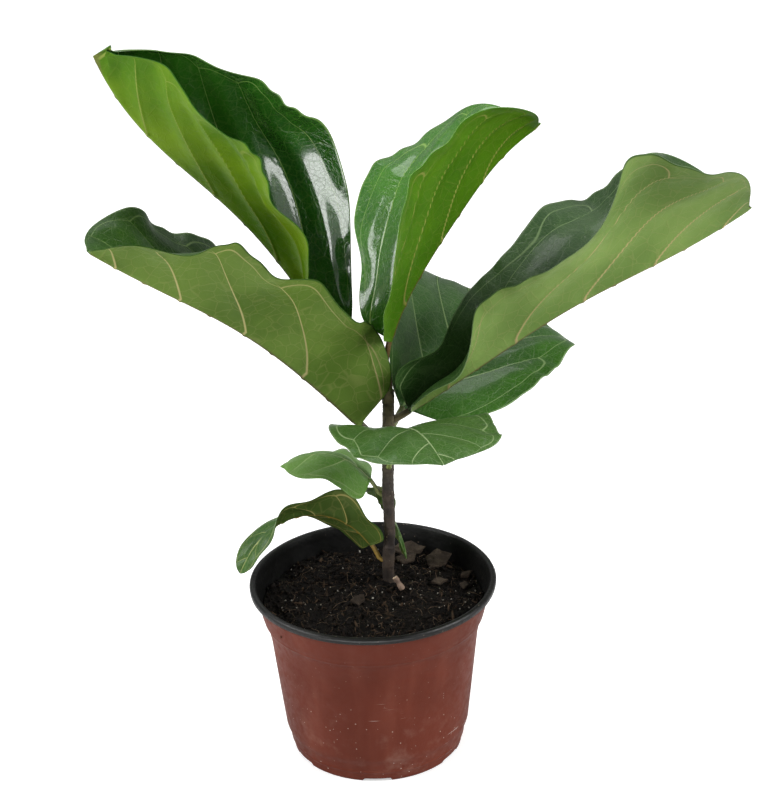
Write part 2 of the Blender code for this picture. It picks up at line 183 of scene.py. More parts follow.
def calc(tree, operation, *values):
    return addNode(tree, "ShaderNodeMath", dict(enumerate(values)), operation=operation).outputs[0]


def times(tree, first, second):
    return calc(tree, "MULTIPLY", first, second)


def linear(tree, value, factor, start):
    # the value times a factor, plus a start
    return calc(tree, "MULTIPLY_ADD", value, factor, start)


def blend(tree, factor, first, second):
    return addNode(tree, "ShaderNodeMix", {0: factor, 6: first, 7: second}, data_type="RGBA").outputs[2]


def tint(tree, colour, mask, share, other):
    # this share of another colour where the mask is 1
    return blend(tree, times(tree, mask, share), colour, other)


def easeBetween(tree, value, low, high, start=0.0, end=1.0):
    node = addNode(tree, "ShaderNodeMapRange", {0: value, 1: low, 2: high, 3: start, 4: end},
                   interpolation_type="SMOOTHSTEP")
    return node.outputs[0]


def noiseAt(tree, vector, scale, detail=2.0, roughness=0.5):
    sockets = {"Vector": vector, "Scale": scale, "Detail": detail, "Roughness": roughness}
    return addNode(tree, "ShaderNodeTexNoise", sockets).outputs[0]


def cellsAt(tree, vector, scale, feature="F1"):
    return addNode(tree, "ShaderNodeTexVoronoi", {"Vector": vector, "Scale": scale}, feature=feature)


def factOf(tree, name):
    return addNode(tree, "ShaderNodeAttribute", attribute_name=name).outputs["Fac"]


def inPlace(tree):
    return addNode(tree, "ShaderNodeTexCoord").outputs["Object"]


def streaks(tree, scale, detail, roughness=0.5):
    # noise in place with its own scale along each axis
    place = addNode(tree, "ShaderNodeMapping", {"Vector": inPlace(tree), "Scale": scale}).outputs[0]
    return noiseAt(tree, place, 1.0, detail, roughness)


def newGroup(name, inputs, outputs):
    # a node group with these number inputs (and their defaults) and mask outputs
    group = bpy.data.node_groups.new(name, "ShaderNodeTree")
    for key, value in inputs.items():
        group.interface.new_socket(key, in_out="INPUT", socket_type="NodeSocketFloat").default_value = value
    for key in outputs:
        group.interface.new_socket(key, in_out="OUTPUT", socket_type="NodeSocketFloat")
    return group, group.nodes.new("NodeGroupInput").outputs, group.nodes.new("NodeGroupOutput").inputs


def useGroup(tree, group, **values):
    node = tree.nodes.new("ShaderNodeGroup")
    node.node_tree = group
    for key, value in values.items():
        join(tree, value, node.inputs[key])
    return node.outputs


def makeVeinGroup():
    # side veins from the counted phase, loops that join them inside the margin, and two nets between
    group, given, out = newGroup("leaf veins", {"Width": 0.0011, "Gap": 0.036, "Half": 0.08},
                                 ("Veins", "Net", "Fine", "Edge"))
    phase, across = factOf(group, "veinPhase"), factOf(group, "across")
    nearest = calc(group, "ABSOLUTE", calc(group, "SUBTRACT", phase, calc(group, "ROUND", phase)))
    away = times(group, nearest, given["Gap"])
    taper = times(group, given["Width"], easeBetween(group, across, 0.0, 0.9, 1.0, 0.35))
    line = easeBetween(group, away, times(group, taper, 0.25), taper, 1.0, 0.0)
    line = times(group, line, easeBetween(group, across, 0.78, 0.9, 1.0, 0.0))
    line = times(group, line, calc(group, "GREATER_THAN", phase, -0.25))
    arch = calc(group, "SINE", times(group, calc(group, "FRACT", phase), math.pi))
    height = linear(group, arch, 0.10, 0.80)
    off = calc(group, "ABSOLUTE", calc(group, "SUBTRACT", across, height))
    off = times(group, off, given["Half"])
    loop = easeBetween(group, off, 0.0001, 0.0007, 0.75, 0.0)
    group.links.new(calc(group, "MAXIMUM", line, loop), out["Veins"])
    place = addNode(group, "ShaderNodeUVMap", uv_map="plan").outputs[0]
    warp = addNode(group, "ShaderNodeTexNoise", {"Vector": place, "Scale": 30.0}).outputs[1]
    bend = addNode(group, "ShaderNodeVectorMath", {0: warp, 1: (0.012, 0.012, 0)}, operation="MULTIPLY")
    bent = addNode(group, "ShaderNodeVectorMath", {0: place, 1: bend.outputs[0]}, operation="ADD").outputs[0]
    wide = cellsAt(group, bent, 38.0, "DISTANCE_TO_EDGE").outputs[0]
    fine = cellsAt(group, bent, 130.0, "DISTANCE_TO_EDGE").outputs[0]
    group.links.new(easeBetween(group, wide, 0.0, 0.055, 1.0, 0.0), out["Net"])
    group.links.new(easeBetween(group, fine, 0.0, 0.09, 1.0, 0.0), out["Fine"])
    group.links.new(easeBetween(group, across, 0.978, 0.992), out["Edge"])
    return group


def makeBlotchGroup():
    # broad and fine uneven patches in place
    group, given, out = newGroup("blotches", {"Scale": 20.0}, ("Broad", "Fine"))
    place = inPlace(group)
    group.links.new(easeBetween(group, noiseAt(group, place, given["Scale"], 3.0), 0.32, 0.68), out["Broad"])
    fine = noiseAt(group, place, times(group, given["Scale"], 14.0), 4.0, 0.6)
    group.links.new(easeBetween(group, fine, 0.3, 0.7), out["Fine"])
    return group


def makeSpeckGroup():
    # scattered small spots: a few cells, each with a spot of its own size
    group, given, out = newGroup("specks", {"Scale": 400.0, "Share": 0.1, "Size": 0.3}, ("Mask",))
    cells = cellsAt(group, inPlace(group), given["Scale"])
    chance = addNode(group, "ShaderNodeSeparateColor", {0: cells.outputs["Color"]}).outputs
    picked = calc(group, "LESS_THAN", chance[0], given["Share"])
    size = times(group, given["Size"], linear(group, chance[1], 0.7, 0.3))
    spot = easeBetween(group, cells.outputs["Distance"], times(group, size, 0.6), size, 1.0, 0.0)
    group.links.new(times(group, spot, picked), out["Mask"])
    return group


veinGroup, blotchGroup, speckGroup = makeVeinGroup(), makeBlotchGroup(), makeSpeckGroup()


def specks(tree, scale, share, size):
    return useGroup(tree, speckGroup, Scale=scale, Share=share, Size=size)["Mask"]


def newMaterial(name, **constants):
    # a Principled material, with the values that are the same all over it on the shader's own sockets
    made = bpy.data.materials.new(name)
    made.use_nodes = True
    for key, value in constants.items():
        made.node_tree.nodes["Principled BSDF"].inputs[key.replace("_", " ")].default_value = value
    return made


def newLook(name, patchScale, **constants):
    # a material, its node tree and the blotches that its colour and roughness start from
    made = newMaterial(name, **constants)
    return made, made.node_tree, useGroup(made.node_tree, blotchGroup, Scale=patchScale)


def finish(made, colour, roughness, height, strength, distance):
    # the changing colour, roughness and bump height on the material's shader
    tree = made.node_tree
    shader = tree.nodes["Principled BSDF"]
    join(tree, colour, shader.inputs["Base Color"])
    join(tree, roughness, shader.inputs["Roughness"])
    bump = addNode(tree, "ShaderNodeBump", {"Height": height, "Strength": strength, "Distance": distance})
    tree.links.new(bump.outputs[0], shader.inputs["Normal"])
    return made


potForm = dict(rimRadius=0.0800, height=0.1200, baseRadius=0.0553, wall=0.0014, floor=0.0016,
               rollHeight=0.0046, rollWidth=0.0042, ridge=0.0004, ridgeHeights=(0.0960, 0.0075),
               wallHeights=(0, 0.0148, 0.0172, 0.0820, 0.0915, 0.0989, 0.1154),
               wallRadii=(0.0553, 0.0585, 0.0600, 0.0674, 0.0694, 0.0725, 0.0763), notches=6,
               notchWidth=0.019, notchHeight=0.0022, notchDepth=0.008, notchTurn=-91, turns=288)


def wallRadius(z):
    # outer radius under the rolled rim: slim body and flared band, its corners eased, with faint raised rings
    p = potForm
    line = sum(np.interp(z + d, p["wallHeights"], p["wallRadii"]) for d in (-0.001, 0, 0.001)) / 3
    return line + sum(p["ridge"] * bell((z - h) / 0.0009) for h in p["ridgeHeights"])


def potProfile():
    # radius and height from the middle of the inner floor up the inside, over the roll, down and under the
    # foot; also the row of the lip and the number of rows under the foot
    p = potForm
    rollFoot = p["height"] - p["rollHeight"]
    inner = np.concatenate([np.linspace(p["floor"], 0.09, 24), np.linspace(0.0915, rollFoot, 26)])
    inside = np.stack([wallRadius(inner) - p["wall"], inner], -1)
    floor = np.stack([np.linspace(0.0, inside[0][0] - 0.001, 8), np.full(8, p["floor"])], -1)
    middle = np.array([p["rimRadius"] - p["rollWidth"] / 2, p["height"] - p["rollWidth"] / 2])
    angle = np.radians(np.linspace(165, -25, 20))
    roll = middle + p["rollWidth"] / 2 * np.stack([np.cos(angle), np.sin(angle)], -1)
    lip = np.array([[p["rimRadius"] - 0.0003, rollFoot + 0.0004],
                    [p["rimRadius"] - 0.0008, rollFoot + 0.0001], [wallRadius(rollFoot) + 0.0004, rollFoot]])
    outer = np.concatenate([np.linspace(rollFoot - 0.0004, 0.094, 34), np.linspace(0.0925, 0.009, 44),
                            np.linspace(0.0088, 0.001, 16)])
    outside = np.stack([wallRadius(outer), outer], -1)
    foot = np.array([[p["baseRadius"] - 0.0001, 0.0004], [p["baseRadius"] - 0.0006, 0.0]])
    under = np.stack([np.linspace(p["baseRadius"] - 0.002, 0.0, 16), np.zeros(16)], -1)
    profile = np.concatenate([floor, inside, roll, lip, outside, foot, under])
    return profile, len(floor) + len(inside) + len(roll) + 2, len(foot) + len(under) - 1


def makePot():
    # the profile turned about Z; thin plastic is a little out of round, and notches lift the foot's edge
    p = potForm
    profile, lipRow, underRows = potProfile()
    angle = fullTurn(p["turns"])
    r, z = profile[:, :1], profile[:, 1:]
    wobble = 0.00025 * np.sin(2 * angle + 0.6) + 0.00012 * np.sin(3 * angle) + 0.00006 * np.sin(9 * angle + 1)
    r = r + wobble * easeStep(z / 0.05) * (r > 0.03)
    part = 2 * math.pi / p["notches"]
    off = (angle - math.radians(p["notchTurn"]) + part / 2) % part - part / 2
    half = p["notchWidth"] / 2 / p["baseRadius"]
    cutout = p["notchHeight"] * easeStep((half - np.abs(off)) / (0.12 * half))
    lift = cutout * easeStep((r - p["baseRadius"] + p["notchDepth"]) / 0.0006)
    outside = np.arange(len(profile))[:, None] > lipRow
    z = np.where(outside, np.maximum(z, lift), z)
    points = np.stack([r * np.cos(angle), r * np.sin(angle), z], -1)[1:-1].reshape(-1, 3)
    poles = [(0, 0, p["floor"]), (0, 0, 0)]
    rows, columns = len(profile) - 2, p["turns"]
    faces = closedGrid(rows, columns)
    finishOf = np.ones(len(faces), int)
    finishOf[(lipRow - 1) * columns:(rows - underRows) * columns] = 0
    points = np.concatenate([points, poles])
    makePiece("pot_shell", points, faces, [potClay(), potBlack()], "pot", finishOf)


def potClay():
    # terracotta plastic: soft blotches, upright handling smears, pale dust low down and small scratches
    made, tree, patch = newLook("pot clay colour", 14.0, Specular_IOR_Level=0.14)
    place = inPlace(tree)
    colour = blend(tree, patch["Broad"], (0.094, 0.0175, 0.0080), (0.122, 0.0240, 0.0120))
    smear = streaks(tree, (60.0, 60.0, 9.0), 3.0)
    colour = blend(tree, easeBetween(tree, smear, 0.45, 0.8, 0.0, 0.25), colour, (0.22, 0.065, 0.040))
    height = addNode(tree, "ShaderNodeSeparateXYZ", {0: place}).outputs[2]
    low = easeBetween(tree, height, 0.0, 0.085, 1.0, 0.12)
    haze = noiseAt(tree, place, 45.0, 4.0, 0.65)
    haze = times(tree, easeBetween(tree, haze, 0.5, 0.78, 0.0, 0.22), low)
    colour = blend(tree, haze, colour, (0.44, 0.30, 0.24))
    colour = tint(tree, colour, specks(tree, 420.0, 0.18, 0.24), times(tree, low, 0.75), (0.62, 0.50, 0.42))
    scratch = easeBetween(tree, streaks(tree, (40.0, 40.0, 900.0), 2.0), 0.70, 0.76)
    where = easeBetween(tree, noiseAt(tree, place, 26.0), 0.56, 0.64)
    colour = tint(tree, colour, times(tree, scratch, where), low, (0.66, 0.56, 0.50))
    rough = linear(tree, haze, 0.4, linear(tree, patch["Fine"], 0.16, 0.42))
    return finish(made, colour, rough, patch["Fine"], 0.12, 0.0004)


def potBlack():
    # black plastic of the rim and the inside, with soil dust and pale rub marks
    made, tree, patch = newLook("pot black", 30.0, Specular_IOR_Level=0.30)
    colour = blend(tree, patch["Broad"], (0.0025, 0.0025, 0.0023), (0.006, 0.006, 0.0055))
    rubbed = streaks(tree, (90.0, 90.0, 260.0), 4.0, 0.65)
    colour = blend(tree, easeBetween(tree, rubbed, 0.55, 0.85, 0.0, 0.2), colour, (0.06, 0.056, 0.05))
    colour = tint(tree, colour, specks(tree, 420.0, 0.12, 0.28), 0.5, (0.16, 0.13, 0.10))
    return finish(made, colour, linear(tree, patch["Fine"], 0.2, 0.3), patch["Fine"], 0.2, 0.0004)


makePot()
print("pot done")


soilForm = dict(edgeHeight=0.1035, topHeight=0.1085, inset=0.0019, lump=0.0024, grain=0.0007, rings=130,
                turns=330, skirt=(0.0995, 0.0900, 0.0895), bottom=0.0893, reach=0.0715, fibreStart=0.064,
                fibreReach=0.070, stemPlace=(0.0105, 0.0182), stemClear=0.0048, crumbs=3000, flecks=200,
                shreds=420, fibres=330)
stemForm = dict(foot=(0.0102, 0.0184, 0.0880), top=(0.0137, 0.0159, 0.2460), radius=0.0037, nodeRadius=0.0040,
                nodes=(0.123, 0.171, 0.193, 0.218, 0.241), scars=(0.1335, 0.1485, 0.182, 0.206, 0.2295),
                scarDrop=0.0035, start=0.096)


def soilHeight(x, y):
    # a low dome with lumps and grains, heaped a little against the stem
    s = soilForm
    r = np.hypot(x, y)
    edge = wallRadius(np.array(s["edgeHeight"])) - s["inset"]
    crown = 0.5 + 0.5 * np.cos(math.pi * np.minimum(1, r / edge))
    dome = s["edgeHeight"] + (s["topHeight"] - s["edgeHeight"]) * crown
    flat = np.stack([x, y, 0 * x], -1)
    lumps = s["lump"] * roughNoise(flat, 0.016, 2, 5) + s["grain"] * roughNoise(flat, 0.0034, 3, 9)
    fade = 1 - 0.6 * easeStep((r - 0.066) / 0.008)
    heap = 0.0012 * bell(np.hypot(x - stemForm["foot"][0], y - stemForm["foot"][1]) / 0.010)
    return dome + lumps * fade + heap


def makeSoil():
    # a polar grid lifted by the soil's height, closed by a skirt and a flat bottom well below the surface
    s = soilForm
    edge = float(wallRadius(np.array(s["edgeHeight"]))) - s["inset"]
    r = np.concatenate([edge * np.linspace(0.004, 1, s["rings"]), [edge - 0.0006, edge - 0.006, edge * 0.5]])
    angle = fullTurn(s["turns"])
    x, y = r[:, None] * np.cos(angle), r[:, None] * np.sin(angle)
    z = soilHeight(x, y)
    z[s["rings"]:] = np.array(s["skirt"])[:, None]
    points = np.stack([x, y, z], -1).reshape(-1, 3)
    poles = [[0, 0, z[0].mean()], [0, 0, s["bottom"]]]
    faces = closedGrid(len(r), s["turns"])
    makePiece("soil_surface", np.concatenate([points, poles]), faces, [soilDark()], "soil")


def scatterOver(count, rng, reach):
    # even random places over the soil, clear of the stem
    r, a = reach * np.sqrt(rng.random(count * 2)), 2 * math.pi * rng.random(count * 2)
    x, y = r * np.cos(a), r * np.sin(a)
    free = np.hypot(x - soilForm["stemPlace"][0], y - soilForm["stemPlace"][1]) > soilForm["stemClear"]
    x, y = x[free][:count], y[free][:count]
    return np.stack([x, y, soilHeight(x, y)], -1)


def anyTurns(count, rng):
    # random rotations from random unit quaternions
    q = unitRows(rng.normal(size=(count, 4)))
    w, x, y, z = q.T
    rows = [1 - 2 * (y * y + z * z), 2 * (x * y - z * w), 2 * (x * z + y * w),
            2 * (x * y + z * w), 1 - 2 * (x * x + z * z), 2 * (y * z - x * w),
            2 * (x * z - y * w), 2 * (y * z + x * w), 1 - 2 * (x * x + y * y)]
    return np.stack(rows, -1).reshape(-1, 3, 3)


def crumbShape():
    # an icosahedron: its corners are the turns of (0, 1, golden ratio)
    g = (1 + math.sqrt(5)) / 2
    corners = [(-1, g, 0), (1, g, 0), (-1, -g, 0), (1, -g, 0), (0, -1, g), (0, 1, g), (0, -1, -g), (0, 1, -g),
               (g, 0, -1), (g, 0, 1), (-g, 0, -1), (-g, 0, 1)]
    faces = [(0, 11, 5), (0, 5, 1), (0, 1, 7), (0, 7, 10), (0, 10, 11), (1, 5, 9), (5, 11, 4), (11, 10, 2),
             (10, 7, 6), (7, 1, 8), (3, 9, 4), (3, 4, 2), (3, 2, 6), (3, 6, 8), (3, 8, 9), (4, 9, 5),
             (2, 4, 11), (6, 2, 10), (8, 6, 7), (9, 8, 1)]
    return unitRows(np.array(corners, float)), np.array(faces)


def scatterCrumbs(name, count, sizes, shape, lift, material, seed):
    # many small lumps in one piece, each turned, stretched and dented in its own way and half sunk
    rng = np.random.default_rng(seed)
    corners, faces = crumbShape()
    place = scatterOver(count, rng, soilForm["reach"])
    size = sizes[0] + (sizes[1] - sizes[0]) * rng.random(count) ** 2.2
    axes = size[:, None] * (np.array(shape) * (0.75 + 0.5 * rng.random((count, 3))))
    dents = 0.55 + 0.8 * rng.random((count, len(corners)))
    local = corners[None] * dents[..., None] * axes[:, None] / 2
    turns = anyTurns(count, rng)
    points = np.einsum("nij,nkj->nki", turns, local) + place[:, None]
    points[..., 2] += (size * lift)[:, None]
    allFaces = (faces[None] + len(corners) * np.arange(count)[:, None, None]).reshape(-1, 3)
    tone = byRow(rng.random(count), len(corners))
    makePiece(name, points.reshape(-1, 3), allFaces, [material], facts=dict(tone=tone))


def scatterFibres(name, count, lengths, radius, lift, material, seed):
    # thin curved rootlets: short tubes along arcs that dip into the soil at both ends
    rng = np.random.default_rng(seed)
    start = scatterOver(count, rng, soilForm["fibreStart"])
    length = lengths[0] + (lengths[1] - lengths[0]) * rng.random(count) ** 1.5
    turn, bend = 2 * math.pi * rng.random(count), rng.normal(0, 1.5, count)
    points, faces, tones, steps, sides = [], [], [], 9, 4
    for k in range(count):
        t = np.linspace(0, 1, steps)
        heading = turn[k] + bend[k] * t + 0.5 * np.sin(7 * t + k)
        path = np.zeros((steps, 3))
        path[:, 0] = start[k][0] + np.cumsum(np.cos(heading)) * length[k] / steps
        path[:, 1] = start[k][1] + np.cumsum(np.sin(heading)) * length[k] / steps
        far = np.hypot(path[:, 0], path[:, 1])
        path[:, :2] *= np.minimum(1, soilForm["fibreReach"] / np.maximum(far, 1e-6))[:, None]
        path[:, 2] = soilHeight(path[:, 0], path[:, 1]) + lift * rng.random() * np.sin(math.pi * t) - 0.0002
        width = radius * (0.5 + rng.random()) * (0.4 + 0.6 * np.sin(math.pi * (0.08 + 0.84 * t)))
        base = len(points) * steps * sides
        points.append(tubeAlong(path, width, sides).reshape(-1, 3))
        faces += [[base + i for i in face] for face in tubeFaces(steps, sides)]
        tones.append(np.full(steps * sides, rng.random()))
    makePiece(name, np.concatenate(points), faces, [material], facts=dict(tone=np.concatenate(tones)))


def soilDark():
    # damp potting mix: near black with brown crumbs and a few pale specks
    made, tree, patch = newLook("potting mix", 60.0, Specular_IOR_Level=0.12)
    colour = blend(tree, patch["Broad"], (0.0016, 0.0013, 0.0010), (0.0050, 0.0036, 0.0025))
    grain = noiseAt(tree, inPlace(tree), 900.0, 4.0, 0.7)
    colour = blend(tree, easeBetween(tree, grain, 0.52, 0.72, 0.0, 0.7), colour, (0.020, 0.013, 0.008))
    colour = blend(tree, specks(tree, 700.0, 0.05, 0.3), colour, (0.22, 0.19, 0.14))
    return finish(made, colour, linear(tree, patch["Fine"], 0.3, 0.6), grain, 0.8, 0.0012)


def tonedLook(name, dark, light, roughness):
    # one look for scattered bits, each bit's own tone between the two colours
    made, tree, patch = newLook(name, 150.0, Specular_IOR_Level=0.15)
    colour = blend(tree, factOf(tree, "tone"), dark, light)
    colour = tint(tree, colour, patch["Fine"], 0.5, [c * 0.45 for c in dark])
    return finish(made, colour, linear(tree, patch["Fine"], 0.2, roughness), patch["Fine"], 0.5, 0.0005)


makeSoil()
scatterCrumbs("soil_crumbs", soilForm["crumbs"], (0.0006, 0.0042), (1.15, 0.8, 0.6), 0.10,
              tonedLook("crumbs", (0.0016, 0.0013, 0.0010), (0.013, 0.0088, 0.006), 0.7), 11)
scatterCrumbs("soil_flecks", soilForm["flecks"], (0.0004, 0.0016), (1, 1, 1), 0.25,
              tonedLook("pale flecks", (0.16, 0.14, 0.11), (0.55, 0.52, 0.46), 0.75), 12)
scatterCrumbs("soil_shreds", soilForm["shreds"], (0.0020, 0.0085), (1, 0.26, 0.14), 0.18,
              tonedLook("wood shreds", (0.008, 0.005, 0.003), (0.075, 0.048, 0.029), 0.75), 13)
scatterFibres("soil_fibres", soilForm["fibres"], (0.005, 0.024), 0.00014, 0.0022,
              tonedLook("rootlets", (0.02, 0.013, 0.008), (0.17, 0.12, 0.08), 0.7), 14)
print("soil done")


chipForms = {  # length, width and thickness, turn about Z, lean about the length, corners of the outline
    "bark_chip_1": dict(size=(0.022, 0.012, 0.0026), turn=-20, lean=35, outline=(1, 0.95, 0.8, 1, 0.9, 0.75)),
    "bark_chip_2": dict(size=(0.016, 0.010, 0.0024), turn=8, lean=20, outline=(1, 0.7, 1, 0.9, 0.8)),
    "bark_chip_3": dict(size=(0.017, 0.016, 0.0030), turn=-12, lean=30, outline=(1, 0.9, 0.85, 1, 0.8)),
    "bark_chip_4": dict(size=(0.012, 0.006, 0.0020), turn=10, lean=15, outline=(1.3, 0.6, 0.8, 0.7)),
    "bark_chip_5": dict(size=(0.010, 0.008, 0.0020), turn=-25, lean=10, outline=(1, 0.8, 1, 0.7)),
    "bark_chip_6": dict(size=(0.008, 0.006, 0.0020), turn=60, lean=12, outline=(1, 0.7, 0.9, 0.8)),
    "bark_chip_7": dict(size=(0.012, 0.010, 0.0026), turn=30, lean=15, outline=(1, 0.7, 0.9, 1, 0.7)),
}


def makeChip(name, form, bark):
    # a plate whose outline runs straight between the given corners; its faces are flaky, its rim uneven
    turns, rows = 72, 24
    low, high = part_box(name)
    middle = (np.array(low) + np.array(high)) / 2
    length, width, thick = form["size"]
    reach = np.array(form["outline"] + form["outline"][:1])
    corner = 2 * math.pi * np.arange(len(reach)) / (len(reach) - 1) + 0.5
    at = np.arange(turns) * (len(reach) - 1) / turns
    across = [np.interp(at, np.arange(len(reach)), reach * part(corner)) for part in (np.cos, np.sin)]
    acrossX, acrossY = [part / np.abs(part).max() for part in across]
    t = np.linspace(0.02, math.pi - 0.02, rows)
    full = np.abs(np.sin(t)) ** 0.3
    height = np.sign(np.cos(t)) * np.abs(np.cos(t)) ** 0.7
    x = full[:, None] * acrossX * length / 2
    y = full[:, None] * acrossY * width / 2
    z = height[:, None] * thick / 2 + 0 * x
    local = np.stack([x, y, z], -1)
    seed = int(name[-1])
    z += 0.22 * thick * roughNoise(local * (0.35, 1, 1), 0.003, 3, seed) * np.sign(height)[:, None]
    z += 0.10 * thick * np.sin(y / 0.0007 + 3 * roughNoise(local, 0.006, 2, seed)) * (height > 0)[:, None]
    local = np.stack([x, y, z], -1)
    local[..., :2] += (0.0004 * roughNoise(local, 0.0022, 2, seed + 40))[..., None]
    lean = Matrix.Rotation(math.radians(form["lean"]), 3, "X")
    turn = Matrix.Rotation(math.radians(form["turn"]), 3, "Z") @ lean
    points = (local.reshape(-1, 3) @ np.array(turn).T) + middle
    faces = tubeFaces(rows, turns)
    makePiece(name + "_flaky", points, [f[::-1] for f in faces], [bark], name)


def chipBark():
    # dry bark: brown and grey layers with dark cracks
    made, tree, patch = newLook("chip bark", 110.0, Specular_IOR_Level=0.25)
    colour = blend(tree, patch["Broad"], (0.030, 0.021, 0.014), (0.080, 0.058, 0.040))
    colour = tint(tree, colour, patch["Fine"], 0.6, (0.016, 0.011, 0.007))
    colour = tint(tree, colour, specks(tree, 600.0, 0.2, 0.35), 0.5, (0.15, 0.11, 0.075))
    return finish(made, colour, 0.85, patch["Fine"], 0.7, 0.0008)


def stemAxis(z):
    # centre of the leaning stem at height z
    foot, top = np.array(stemForm["foot"]), np.array(stemForm["top"])
    return foot + (top - foot) * (np.asarray(z)[..., None] - foot[2]) / (top[2] - foot[2])


def makeStem():
    # a tube up the leaning axis: it swells at each leaf, a raised ring scar marks each fallen one
    s = stemForm
    rows, sides = 420, 40
    z = np.linspace(s["start"], s["top"][2], rows)
    scars = s["scars"] + tuple(h - s["scarDrop"] for h in s["nodes"])
    ring = s["radius"] + sum((s["nodeRadius"] - s["radius"]) * bell((z - h) / 0.0040) for h in s["nodes"])
    ring = ring + sum(0.00022 * bell((z - h) / 0.0007) for h in scars) + 0.0006 * easeStep((0.112 - z) / 0.01)
    sway = np.stack([0.0004 * np.sin(z * 95), 0.0004 * np.sin(z * 80 + 1), 0 * z], -1)
    path = stemAxis(z) + sway * (1 - easeStep((z - 0.225) / 0.02))[:, None]
    points = tubeAlong(path, ring, sides)
    out = unitRows(points - path[:, None])
    rough = 0.00034 * roughNoise(points * (1, 1, 0.35), 0.0024, 3, 21)
    rough = rough + 0.00012 * roughNoise(points, 0.0008, 2, 22)
    points = (points + out * rough[..., None]).reshape(-1, 3)
    scar = np.clip(sum(bell((z - h) / 0.0010) for h in scars), 0, 1)
    facts = dict(scar=byRow(scar, sides), height=byRow((z - z[0]) / (z[-1] - z[0]), sides))
    makePiece("stem_bark", points, tubeFaces(rows, sides), [stemBark()], "stem", facts=facts)


def stemBark():
    # young bark: grey brown, olive towards the top, pale pores, dark ring scars
    made, tree, patch = newLook("stem bark", 95.0)
    grown = blend(tree, patch["Broad"], (0.013, 0.008, 0.005), (0.050, 0.033, 0.021))
    green = blend(tree, patch["Broad"], (0.062, 0.050, 0.020), (0.11, 0.092, 0.040))
    colour = blend(tree, easeBetween(tree, factOf(tree, "height"), 0.45, 1.0), grown, green)
    colour = tint(tree, colour, specks(tree, 620.0, 0.16, 0.34), 0.7, (0.27, 0.20, 0.14))
    colour = tint(tree, colour, factOf(tree, "scar"), 0.5, (0.022, 0.013, 0.009))
    crack = streaks(tree, (700.0, 700.0, 160.0), 3.0, 0.6)
    colour = blend(tree, easeBetween(tree, crack, 0.52, 0.68, 0.0, 0.7), colour, (0.014, 0.008, 0.006))
    return finish(made, colour, linear(tree, patch["Fine"], 0.2, 0.62), crack, 0.5, 0.0007)


def makeBud():
    # the resting bud's dry sheath: a pointed cone with lengthwise folds, bent a little at its tip
    low, high = (np.array(c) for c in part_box("bud_sheath"))
    rows, sides, sunk = 90, 48, 0.0008
    t = np.linspace(0, 1, rows)
    middle = (low + high) / 2
    path = np.stack([middle[0] + 0.0012 * t ** 2, middle[1] - 0.0008 * t ** 2,
                     low[2] - sunk + (high[2] - low[2] + sunk) * t], -1)
    radius = (high[0] - low[0]) / 2 * (1 - t) ** 0.6 * (1 + 0.12 * np.sin(math.pi * t)) + 0.00025
    angle = fullTurn(sides)
    fold = 1 + 0.10 * np.sin(5 * angle + 2.5 * t[:, None]) + 0.05 * np.sin(11 * angle + 1)
    points = path[:, None] + (tubeAlong(path, radius, sides) - path[:, None]) * fold[..., None]
    points += 0.00012 * roughNoise(points, 0.0012, 2, 31)[..., None]
    makePiece("bud_sheath_folded", points.reshape(-1, 3), tubeFaces(rows, sides), [drySheath()],
              "bud_sheath", facts=dict(up=byRow(t, sides)))


def drySheath():
    # papery and streaked, green at its foot and rust brown at its tip
    made, tree, patch = newLook("dry sheath", 160.0)
    foot = blend(tree, patch["Broad"], (0.10, 0.12, 0.035), (0.15, 0.15, 0.05))
    tip = blend(tree, patch["Broad"], (0.10, 0.045, 0.018), (0.20, 0.10, 0.04))
    colour = blend(tree, easeBetween(tree, factOf(tree, "up"), 0.05, 0.5), foot, tip)
    streak = streaks(tree, (1500.0, 1500.0, 120.0), 2.0)
    colour = blend(tree, easeBetween(tree, streak, 0.5, 0.7, 0.0, 0.5), colour, (0.05, 0.022, 0.010))
    return finish(made, colour, 0.6, streak, 0.4, 0.0004)


def makeStub():
    # a short cut shoot: bark up its side, a bevelled shoulder and a pale, slightly hollow cut face
    low, high = (np.array(c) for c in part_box("pruned_stub"))
    foot = np.array([high[0] - 0.0016, (low[1] + high[1]) / 2 - 0.0006, low[2] - 0.0006])
    top = np.array([low[0] + 0.0017, (low[1] + high[1]) / 2 + 0.0008, high[2] - 0.0012])
    rows, sides = 60, 32
    t = np.linspace(0, 1, rows)
    path = foot + (top - foot) * t[:, None]
    radius = 0.0019 * (1 - 0.15 * t) + 0.0002 * np.sin(9 * t)
    points = tubeAlong(path, radius, sides)
    out = unitRows(points - path[:, None])
    points += out * (0.00018 * roughNoise(points, 0.0016, 3, 33))[..., None]
    ahead = unitRows(top - foot)
    shrink = np.array([0.9, 0.6, 0.3, 0.1])
    hollow = (0.0002 - 0.0004 * (1 - shrink))[:, None, None]
    face = path[-1] + (points[-1][None] - path[-1]) * shrink[:, None, None] + ahead * hollow
    points = np.concatenate([points, face]).reshape(-1, 3)
    cut = np.concatenate([np.zeros(rows), np.ones(len(shrink))])
    makePiece("pruned_stub_cut", points, tubeFaces(len(cut), sides), [cutWood()], "pruned_stub",
              facts=dict(cut=byRow(cut, sides)))


def cutWood():
    # grey brown bark, and a pale dry face where the shoot was cut
    made, tree, patch = newLook("cut wood", 200.0)
    rind = blend(tree, patch["Broad"], (0.12, 0.075, 0.055), (0.25, 0.17, 0.12))
    face = blend(tree, patch["Fine"], (0.42, 0.30, 0.20), (0.55, 0.43, 0.31))
    colour = blend(tree, factOf(tree, "cut"), rind, face)
    return finish(made, colour, 0.75, patch["Fine"], 0.4, 0.0005)


dryBark = chipBark()
for chipName, chipForm in chipForms.items():
    makeChip(chipName, chipForm, dryBark)
makeStem()
makeBud()
makeStub()
print("stem and chips done")


